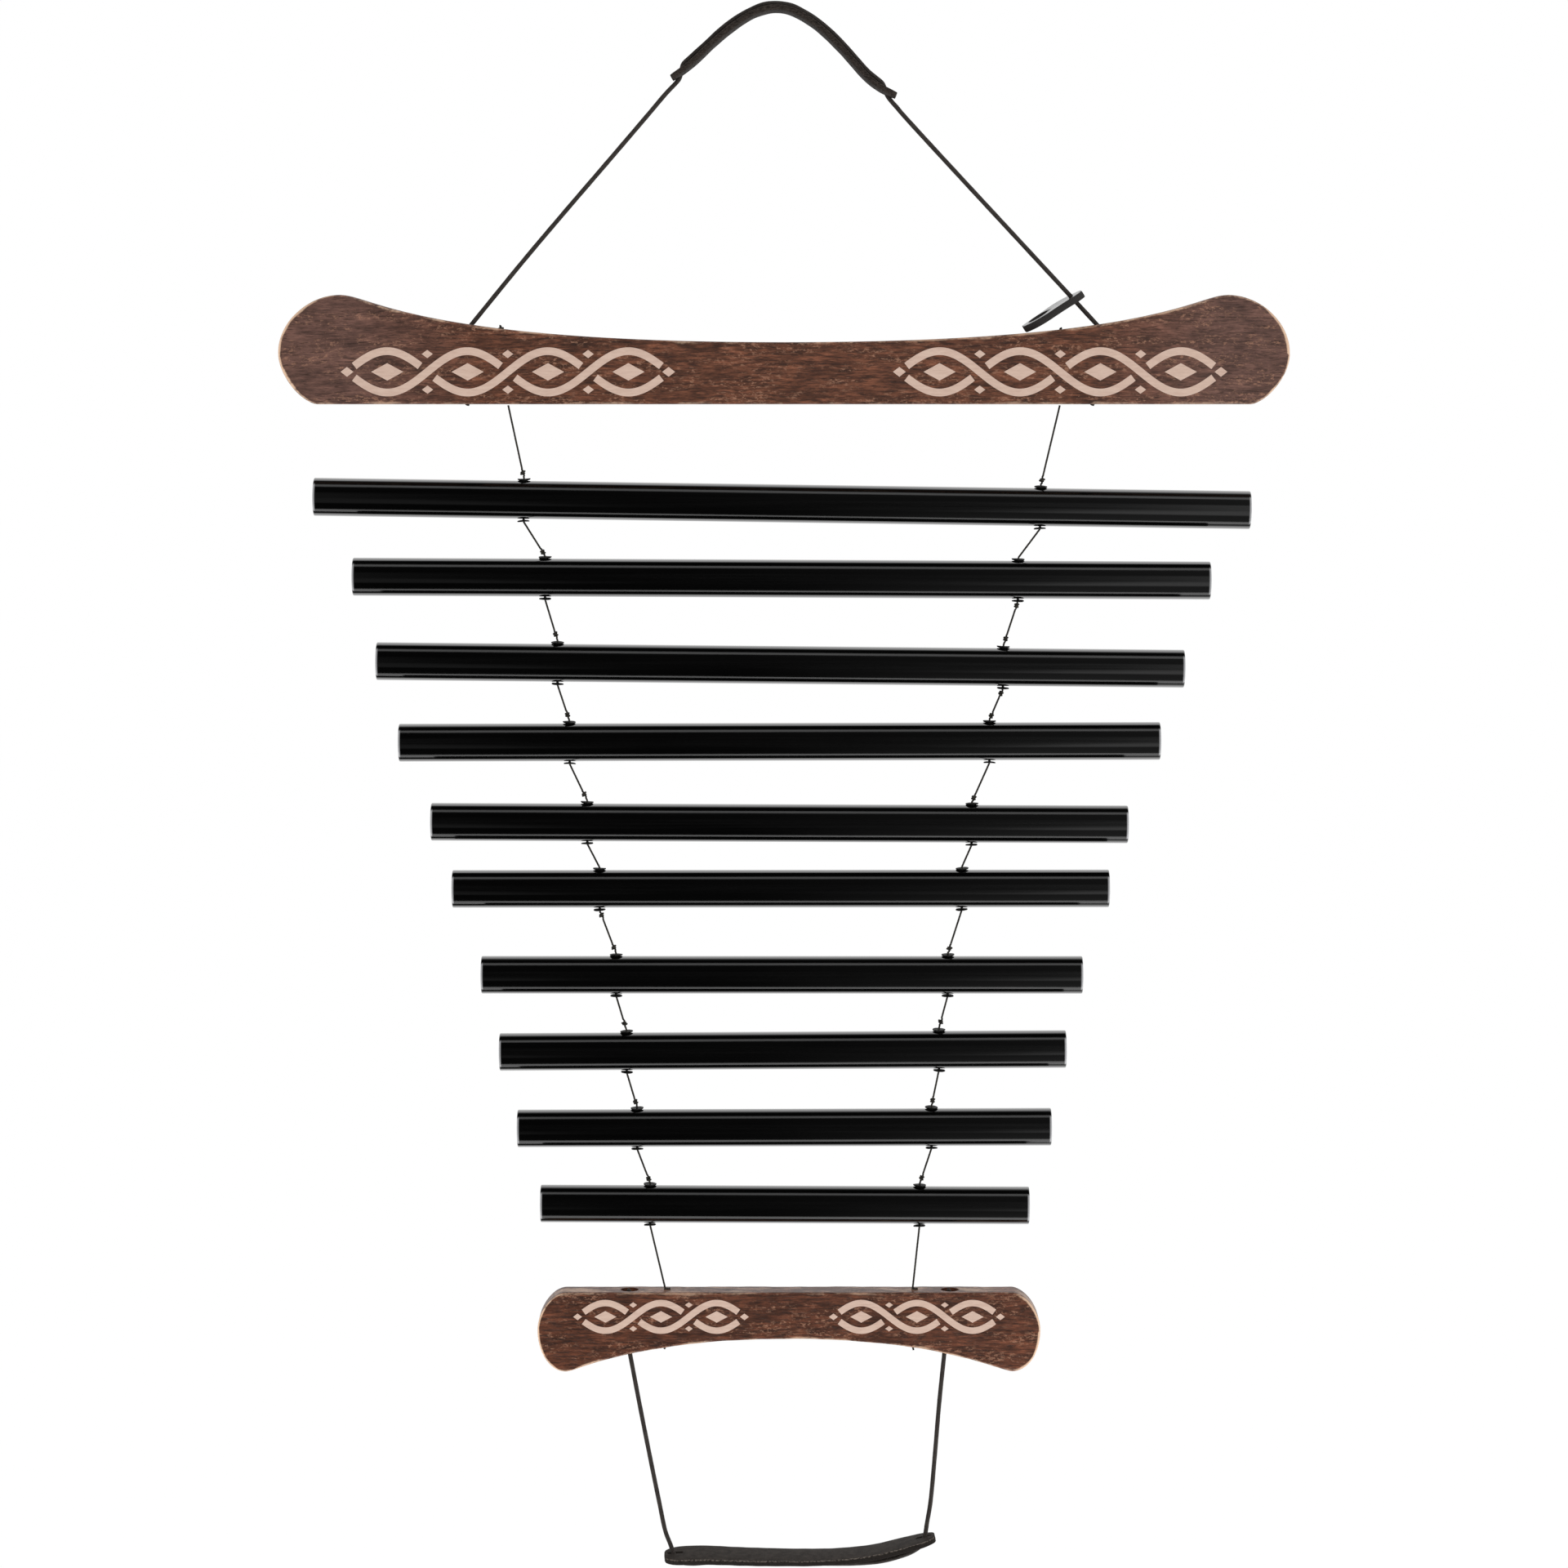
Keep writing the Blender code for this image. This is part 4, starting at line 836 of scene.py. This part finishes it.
def make_bar(name, half, origin, cord_bores, up, grey_lobes, body, material):
    """Board: rings from a line inside it out over the front face, round the edge and over the back.

    The columns go round the outline, at the same X above and below, closer together at the ends. The
    mark of wear peaks in the middle of each rounded edge, and is strongest round the ends. The narrow
    sides carry an even share of it, which is partly wear and partly painted light on the top faces.
    """
    reach = half[1][3][0]
    turn = np.linspace(0, 2 * math.pi, 401)[:-1]
    x = reach * np.cos(turn)
    lower, upper = edges_at(half, np.clip(x, -reach, reach))
    z = np.where(turn <= math.pi, upper, lower)
    outline = np.stack([x, z], axis=1)
    forward = np.roll(outline, -1, axis=0) - np.roll(outline, 1, axis=0)
    inward = unit(np.stack([-forward[:, 1], forward[:, 0]], axis=1))
    spine = np.stack([x * (1 - BAR_SPINE_INSET / reach), (upper + lower) / 2], axis=1)
    worn = 1 + ripple(x + 0.4 * (turn > math.pi), (0.22, 17, 0.2), (0.16, 41, 0.5), (0.1, 97, 0.1))
    radius = BAR_EDGE_ROUND * worn[:, None]
    half_thickness = BAR_THICKNESS / 2
    bend = np.radians(np.linspace(0, 90, 8))
    steps = np.linspace(1, 0, 9)[:-1]
    face_start = outline + inward * radius
    face = steps[:, None, None] * spine[None] + (1 - steps)[:, None, None] * face_start[None]
    rim = face_start[None] - np.sin(bend)[:, None, None] * inward[None] * radius[None]
    rim_y = -half_thickness + radius.T * (1 - np.cos(bend))[:, None]
    front = np.concatenate([face, rim])
    front_y = np.pad(rim_y, ((len(steps), 0), (0, 0)), constant_values=-half_thickness)
    side_y = np.linspace(-0.75, 0.75, 5)[:, None] * (half_thickness - BAR_EDGE_ROUND) * np.ones(len(x))
    flat = np.concatenate([front, np.repeat(outline[None], 5, axis=0), front[::-1]])
    y = np.concatenate([front_y, side_y, -front_y[::-1]])
    rubbed = 0.38 + 0.62 * np.abs(inward[:, 0]) ** 0.9
    rim_edge = np.maximum(np.sin(2 * bend).clip(0, 1)[:, None] ** 0.6, 0.12) * rubbed[None]
    front_edge = np.pad(rim_edge, ((len(steps), 0), (0, 0)))
    # Narrow sides: an even share of pale, partly wear, partly painted light on the top faces
    edge = np.concatenate([front_edge, np.full((5, len(x)), BAR_SIDE_WEAR_AND_LIGHT), front_edge[::-1]])
    grey = grey_lobes * np.clip((np.abs(flat[..., 0]) / reach - 0.6) / 0.25, 0, 1)
    grid = np.stack([flat[..., 0], y, flat[..., 1]], axis=2) + origin
    cutters = []
    for mouth_x, bore_x in cord_bores:
        mouth = edges_at(half, mouth_x)[1 if up > 0 else 0]
        cutters.append(rod(origin + (bore_x, 0, -up * 0.002),
                           origin + (bore_x, 0, up * COUNTERBORE_DEPTH), COUNTERBORE_RADIUS))
        cutters.append(rod(origin + (mouth_x, 0, mouth - up * 0.006),
                           origin + (mouth_x, 0, mouth + up * 0.004), WOOD_HOLE_RADIUS, 32))
    add_piece(name + "_wood", [(grid, False, True)], material, body,
              {"edge": [edge], "grey": [grey]}, cutters, (name,), 40)


# Ornament

def ribbon(centre, half_width, proud=0.00012):
    """Flat raised band: a low section with sloping shoulders, carried along a line in the front face."""
    along = unit(np.gradient(centre, axis=0))
    side = np.stack([-along[:, 1], along[:, 0]], axis=1)
    across = np.array((-1.0, -0.94, -0.5, 0.0, 0.5, 0.94, 1.0, 0.9, -0.9))
    depth = np.array((0.0, 1.0, 1.0, 1.0, 1.0, 1.0, 0.0, -1.5, -1.5)) * proud
    width = np.broadcast_to(np.asarray(half_width, float).reshape(-1, 1), (len(centre), 1))
    flat = centre[:, None] + (width * across[None])[..., None] * side[:, None]
    depth = np.repeat(depth[None], len(centre), axis=0)
    grid = np.stack([flat[..., 0], -BAR_THICKNESS / 2 - depth, flat[..., 1]], axis=2)
    return with_caps(grid), False, True


def guilloche(start, eye, eyes, amplitude, half_width, middle):
    """Two strands that cross at every eye's end, z = plus and minus amplitude sin(pi (x - start) / eye).

    The strand that passes below is left open for a little more than the width of the other, and both
    stop short of the ends. A lozenge lies in each eye, a small one above and below each crossing
    between two eyes, and one at either end.
    """
    gap = 1.9 * half_width
    bands = [lozenge((x, middle), 0.08 * eye, 0.24 * amplitude) for x in (start, start + eyes * eye)]
    for sign in (-1, 1):
        cuts = [start + gap]
        for crossing in range(1, eyes):
            if (crossing % 2 == 0) == (sign > 0):
                cuts += [start + crossing * eye - gap, start + crossing * eye + gap]
        cuts.append(start + eyes * eye - gap)
        for low, high in zip(cuts[::2], cuts[1::2]):
            x = np.linspace(low, high, max(12, round((high - low) / 0.0012)))
            z = middle + sign * amplitude * np.sin(math.pi * (x - start) / eye)
            bands.append(ribbon(np.stack([x, z], axis=1), half_width))
    for number in range(eyes):
        bands.append(lozenge((start + (number + 0.5) * eye, middle), 0.2 * eye, 0.42 * amplitude))
    for number in range(1, eyes):
        for sign in (-1, 1):
            spot = (start + number * eye, middle + sign * 0.86 * amplitude)
            bands.append(lozenge(spot, 0.07 * eye, 0.2 * amplitude))
    return bands


def lozenge(centre, half_length, half_height):
    """Diamond: a band whose width falls evenly from its middle to both points."""
    share = np.linspace(-1, 1, 13)
    line = np.stack([centre[0] + half_length * share, np.full(13, centre[1])], axis=1)
    return ribbon(line, half_height * (1.001 - np.abs(share)))


def mirrored(make, centre_x, start, **shape):
    """The same band to the right of a centre line and, turned over, to its left."""
    right = make(centre_x + start, **shape)
    flip = np.array((-1.0, 1.0, 1.0))
    offset = np.array((2 * centre_x, 0.0, 0.0))
    return right + [(grid * flip + offset, along, around) for grid, along, around in right]


# Tubes, liners and strings

def tube_line(number):
    """Middle and half length of a tube, its direction, and the upward direction square to it."""
    left, right = straight_ends(f"tube_{number:02d}")
    along = unit(right - left)
    return (left + right) / 2, np.linalg.norm(right - left) / 2, along, np.cross(along, ACROSS)


def make_tube(number, material):
    """Drawn tube: a rounded wall section turned about the tube's own line."""
    centre, half, along, up = tube_line(number)
    bore, small = TUBE_RADIUS - TUBE_WALL, TUBE_EDGE_ROUND
    outer_rows, bore_rows = 39, 9
    bend = np.radians(np.linspace(0, 90, 5))
    outer_x = np.linspace(2 * small - half, half - 2 * small, outer_rows)
    outer_x = np.concatenate([[small - half], outer_x, [half - small]])
    profile = [
        (np.full(len(outer_x), TUBE_RADIUS), outer_x),
        (TUBE_RADIUS - small * (1 - np.cos(bend[1:])), half - small * (1 - np.sin(bend[1:]))),
        (bore + small * (1 - np.sin(bend)), half - small * (1 - np.cos(bend))),
        (np.full(bore_rows, bore), np.linspace(half - small, -half + small, bore_rows)),
        (bore + small * (1 - np.cos(bend[1:])), -half + small * (1 - np.sin(bend[1:]))),
        (TUBE_RADIUS - small * (1 - np.sin(bend[:-1])), -half + small * (1 - np.cos(bend[:-1])))]
    radius = np.concatenate([part[0] for part in profile])
    x = np.concatenate([part[1] for part in profile])
    turn = np.linspace(0, 2 * math.pi, 96, endpoint=False)
    ring = np.cos(turn)[:, None] * up + np.sin(turn)[:, None] * ACROSS
    grid = centre + x[:, None, None] * along + radius[:, None, None] * ring[None]
    rounding = np.repeat([1.0, 0.0, 1.0, 0.0, 1.0],
                         [1, outer_rows, 2 * len(bend), bore_rows, 2 * len(bend) - 2])
    # End mark only where the ends face front and back: partly metal, partly a painted highlight strip at
    # mid-height
    edge = rounding[:, None] * np.clip((0.74 - np.abs(np.cos(turn))) / 0.1, 0, 1)[None]
    node = f"tube_{number:02d}"
    add_piece(node + "_black", [(grid, True, True)], material, f"chime_{number:02d}",
              {"edge": [edge]}, replaced=(node,), sharp=60)


def make_liner(number, side_name, side, material):
    """Liner of one pair of cross-holes: a neck through the tube with a thin dish at either end.

    The dish is a profile of radius and height, turned round the holes' line. Its rim swells with the
    cosine of three times the bearing and leans a little, to its own side on each liner.
    """
    middle, half, along, up = tube_line(number)
    centre = middle + side * (1 - 2 * STILL_POINT) * half * along
    bearing = np.linspace(0, 2 * math.pi, 60, endpoint=False)
    ends = []
    for end, dish, phase in ((1, UPPER_DISH_MM, 0.9 * number + side),
                             (-1, LOWER_DISH_MM, 2.1 + 1.3 * number)):
        profile = np.array(dish) * MM
        share = (profile[:, :1] / profile[:, 0].max()) ** 2
        radius = profile[:, :1] * (1 - 0.03 * share * (1 - np.cos(3 * bearing + phase)))
        lean = np.cos(bearing - phase) + 0.5 * np.cos(2 * bearing + 1.7 * phase)
        height = end * (TUBE_RADIUS + profile[:, 1:] + 0.00022 * share * lean)
        round_ring = np.cos(bearing)[:, None] * along + np.sin(bearing)[:, None] * ACROSS
        ends.append(centre + radius[..., None] * round_ring[None] + height[..., None] * up)
    grid = np.concatenate([ends[0], ends[1][::-1]])
    node = f"liner_{number:02d}_{side_name}"
    add_piece(node + "_dishes", [(grid, False, True)], material, f"chime_{number:02d}",
              replaced=(node,), sharp=60)


def add_string(name, path, reference, body, material, replaced=(), sharp=50):
    """Three strands twisted into one string along a path, closed at both ends."""
    radii = np.full(len(path), STRING_FULLNESS * STRING_DIAMETER / 2)
    rings = sweep(path, radii, 9, reference, 3, STRING_TWIST, STRAND_DEPTH)
    add_piece(name, [(with_caps(rings), False, True)], material, body, replaced=replaced,
              sharp=sharp)


def make_inner_string(number, side_name, material):
    """String inside a tube's liner, from the string above the tube to the string below it."""
    above = straight_ends(f"string_{number - 1:02d}_{side_name}")[0]
    below = straight_ends(f"string_{number:02d}_{side_name}")[1]
    add_string(f"inner_string_{number:02d}_{side_name}", np.linspace(above, below, 40), ACROSS,
               f"chime_{number:02d}", material)


def make_string(gap, side_name, material):
    """String across one gap, a tight twist of strands, with its overhand knots."""
    node = f"string_{gap:02d}_{side_name}"
    lower, upper = straight_ends(node)
    length = np.linalg.norm(upper - lower)
    down = unit(lower - upper)
    side = RIGHT * (1 if gap % 2 else -1) + ACROSS * 0.5
    flat_side = unit(side - down * (side @ down))
    drops, rises = KNOT_DROPS_MM[side_name], KNOT_RISES_MM[side_name]
    centres = [drops[gap] * MM] if gap in drops else []
    centres += [length - rises[gap] * MM] if gap in rises else []
    shape = {"fold": 0.36, "sway": 0.0004} if gap in LOOSE_KNOTS[side_name] else {}
    paths, references, place = [], [], 0.0

    def straight(start, stop):
        steps = max(3, round((stop - start) / STRING_STEP))
        return upper + down * np.linspace(start, stop, steps)[:, None]
    for centre in centres:
        begin = max(centre - KNOT_LENGTH / 2, 0.0001)
        stop = min(centre + KNOT_LENGTH / 2, length - 0.0001)
        run = straight(place, begin)[:-1]
        knot, outward = overhand(upper + down * begin, upper + down * stop, side, KNOT_RADIUS, **shape)
        paths += [run, knot[:-1]]
        references += [np.repeat(flat_side[None], len(run), axis=0), outward[:-1]]
        place = stop
    run = straight(place, length)
    paths.append(run)
    last = references[-1][-1:] if references else flat_side[None]
    references.append(np.repeat(last, len(run), axis=0))
    add_string(node + "_waxed", np.vstack(paths), np.vstack(references), f"strings_{gap:02d}", material,
               (node,), 60)


def make_string_end(name, x, edge_z, up, look, body, material):
    """Knot and cut tail of a string where it comes out of a bar."""
    sunk, radius, tail_x, tail_z = look
    place, away = np.array((x, 0.0, edge_z - up * sunk)), np.array((0.0, 0.0, up))
    tip = place + (tail_x, 0.0, tail_z)
    path, reference = end_knot(place - 0.0010 * away, place + 0.0016 * away, tip, radius, 2.5)
    add_string(name, path, reference, body, material)


def make_string_tail(name, points_mm, body, material):
    """Spare end of a string, lying on a bar beside its hole."""
    add_string(name, evenly(curve_through(in_plane(points_mm), 12), 0.0004), ACROSS, body, material)


# Studio

def add_lamp(name, place, turn, size, radiance):
    """Rectangular lamp that looks equally bright from wherever it is seen."""
    light = bpy.data.lights.new(name, "AREA")
    light.shape = "RECTANGLE"
    light.size, light.size_y = size
    light.energy = radiance * math.pi * size[0] * size[1]
    lamp = make_object(name, light)
    lamp.location = place
    lamp.rotation_euler = turn
    lamp.visible_camera = False


def ray_kinds(tree):
    """Rays that see the studio straight or through glass, and rays that see it in a reflection."""
    rays = tree.nodes.new("ShaderNodeLightPath").outputs
    straight = maths(tree, "MAXIMUM", rays["Is Camera Ray"], rays["Is Transmission Ray"])
    return straight, rays["Is Glossy Ray"]


def studio_reflection(tree, direction):
    """How bright the studio is in a reflection: white behind the object and far to the sides, dim in
    front of it, with a soft glow low to the right and a fainter one to the left."""
    parts = add_node(tree, "ShaderNodeSeparateXYZ", {0: direction}).outputs
    sideways = maths(tree, "ABSOLUTE", parts["X"])
    dim = ramp(tree, parts["X"], -0.015, 0.15, 0.03, 0.45)
    reach = ramp(tree, sideways, 0.075, 0.107)
    level = ramp(tree, maths(tree, "ABSOLUTE", parts["Z"]), 0.42, 0.55, 1.0, 0.0)
    glow = maths(tree, "MULTIPLY", maths(tree, "MULTIPLY", reach, reach), level)
    glow = maths(tree, "MULTIPLY", glow, ramp(tree, parts["X"], -0.01, 0.01, 0.4, 2.0))
    front = maths(tree, "MAXIMUM", dim, glow)
    behind = ramp(tree, parts["Y"], 0.35, 0.55, front, 1.0)
    return maths(tree, "MAXIMUM", behind, ramp(tree, sideways, 0.75, 0.9))


def make_studio():
    """White studio over a white floor, lit by the world and the lamps.

    Seen in a reflection, its front, its ceiling and the near floor are dim, and brighter to the right.
    """
    bpy.context.scene.view_settings.view_transform = "Standard"
    world = bpy.data.worlds.new("studio")
    bpy.context.scene.world = world
    world.use_nodes = True
    tree = world.node_tree
    direction = tree.nodes.new("ShaderNodeTexCoord").outputs["Generated"]
    reflection = studio_reflection(tree, direction)
    seen, glossy = ray_kinds(tree)
    plain = ramp(tree, seen, 0.0, 1.0, DAYLIGHT, 1.0)
    feed(tree, tree.nodes["Background"],
         {"Color": WHITE, "Strength": ramp(tree, glossy, 0.0, 1.0, plain, reflection)})

    half = FLOOR_SIZE / 2
    corners = np.array([[(x, y, FLOOR_HEIGHT) for x in (-half, half)] for y in (-half, half)])
    floor = make_object("floor", make_mesh("floor", [(corners, False, False)]))
    material, tree, shader = new_material("pale_floor")
    feed(tree, shader, {"Base Color": colour(0.85, 0.85, 0.85), "Roughness": 0.9})
    away = add_node(tree, "ShaderNodeVectorMath", {0: object_place(tree), 1: (0.0, 0.0, 0.5)},
                    operation="ADD").outputs[0]
    direction = add_node(tree, "ShaderNodeVectorMath", {0: away}, operation="NORMALIZE").outputs[0]
    reflection = studio_reflection(tree, direction)
    seen, glossy = ray_kinds(tree)
    glow = add_node(tree, "ShaderNodeEmission",
                    {"Color": WHITE, "Strength": ramp(tree, glossy, 0.0, 1.0, FLOOR_WHITE, reflection)})
    share = maths(tree, "MAXIMUM", maths(tree, "MULTIPLY", seen, FLOOR_SHARE), glossy)
    blend = add_node(tree, "ShaderNodeMixShader", {0: share, 1: shader.outputs[0], 2: glow.outputs[0]})
    feed(tree, tree.nodes["Material Output"], {"Surface": blend.outputs[0]})
    floor.data.materials.append(material)
    for lamp in LAMPS:
        add_lamp(*lamp)


make_camera()
grain_group, wear_group, hide_group = make_grain_group(), make_wear_group(), make_hide_group()
cord_leather, top_strap_leather, pull_strap_leather, slider_leather = (
    black_leather(*look) for look in LEATHERS)
make_cord("hanging_cord", HANGING_ENDS_MM, HANGING_ROUTE_MM, "hanger", cord_leather)
make_cord("pull_cord", PULL_ENDS_MM, PULL_ROUTE_MM, "pull_loop", cord_leather)

string_black, liner_finish = (dull_black(*look) for look in DULL_BLACKS)
top_wood = stained_wood("top_wood", TOP_BROWN)
bottom_wood = stained_wood("bottom_wood", BOTTOM_BROWN)
inlay, tube_black = pale_inlay(), black_anodised()

make_strap("top_grip", TOP_GRIP_LINE_MM, 1, 0.0008, 0.0, 0.25, "hanger", top_strap_leather)
make_strap("pull_grip", PULL_GRIP_LINE_MM, -1, 0.0004, 0.13, 0.8, "pull_loop", pull_strap_leather)
make_slider(slider_leather)

make_bar("top_bar", top_bar_half(), np.array((0.0, 0.0, TOP_BAR_LOW)), TOP_CORD_BORES, 1, 1.0,
         "top_beam", top_wood)
make_bar("bottom_bar", bottom_bar_half(), np.array((BOTTOM_BAR_CENTRE, 0.0, BOTTOM_BAR_HIGH)),
         BOTTOM_CORD_BORES, -1, 0.0, "foot_beam", bottom_wood)
top_ornament = mirrored(guilloche, 0.0, 0.066, eye=0.046, eyes=4, amplitude=0.0118, half_width=0.0022,
                        middle=TOP_BAR_LOW + 0.0185)
bottom_ornament = mirrored(guilloche, BOTTOM_BAR_CENTRE, 0.026, eye=0.0325, eyes=3, amplitude=0.0082,
                           half_width=0.0019, middle=BOTTOM_BAR_HIGH - 0.0142)
add_piece("top_bar_ornament", top_ornament, inlay, "top_beam", sharp=30)
add_piece("bottom_bar_ornament", bottom_ornament, inlay, "foot_beam", sharp=30)

for side_name, side in SIDES:
    last = 0 if side < 0 else -1
    make_cord_knot(f"top_cord_knot_{side_name}", TOP_CORD_BORES[last][1], TOP_BAR_LOW, 1,
                   TOP_KNOT_DEPTHS, "top_beam", cord_leather)
    make_cord_knot(f"bottom_cord_knot_{side_name}", BOTTOM_BAR_CENTRE + BOTTOM_CORD_BORES[last][1],
                   BOTTOM_BAR_HIGH, -1, BOTTOM_KNOT_DEPTHS, "foot_beam", cord_leather)
    x, *look = TOP_STRING_ENDS[side_name]
    make_string_end(f"top_string_end_{side_name}", x, TOP_BAR_LOW + edges_at(top_bar_half(), x)[1], 1.0,
                    look, "top_beam", string_black)
    x, *look = BOTTOM_STRING_ENDS[side_name]
    edge_z = BOTTOM_BAR_HIGH + edges_at(bottom_bar_half(), x)[0]
    x = x + BOTTOM_BAR_CENTRE
    make_string_end(f"bottom_string_end_{side_name}", x, edge_z, -1.0, look, "foot_beam", string_black)
    make_string_tail(f"bottom_string_tail_{side_name}",
                     np.array(STRING_TAIL_MM) + np.array((x, BOTTOM_BAR_HIGH)) / MM, "foot_beam",
                     string_black)

for side_name, last in (("left", 0), ("right", -1)):
    for cord, ends_mm, route_mm, body in (("hanging", HANGING_ENDS_MM, HANGING_ROUTE_MM, "top_beam"),
                                          ("pull", PULL_ENDS_MM, PULL_ROUTE_MM, "foot_beam")):
        make_cord_stub(f"{cord}_cord_stub_{side_name}", in_plane((ends_mm[last], route_mm[last])), body,
                       cord_leather)

for number in range(1, 11):
    make_tube(number, tube_black)
    for side_name, side in SIDES:
        make_liner(number, side_name, side, liner_finish)
        make_inner_string(number, side_name, string_black)
for gap in range(11):
    for side_name, side in SIDES:
        make_string(gap, side_name, string_black)

make_studio()
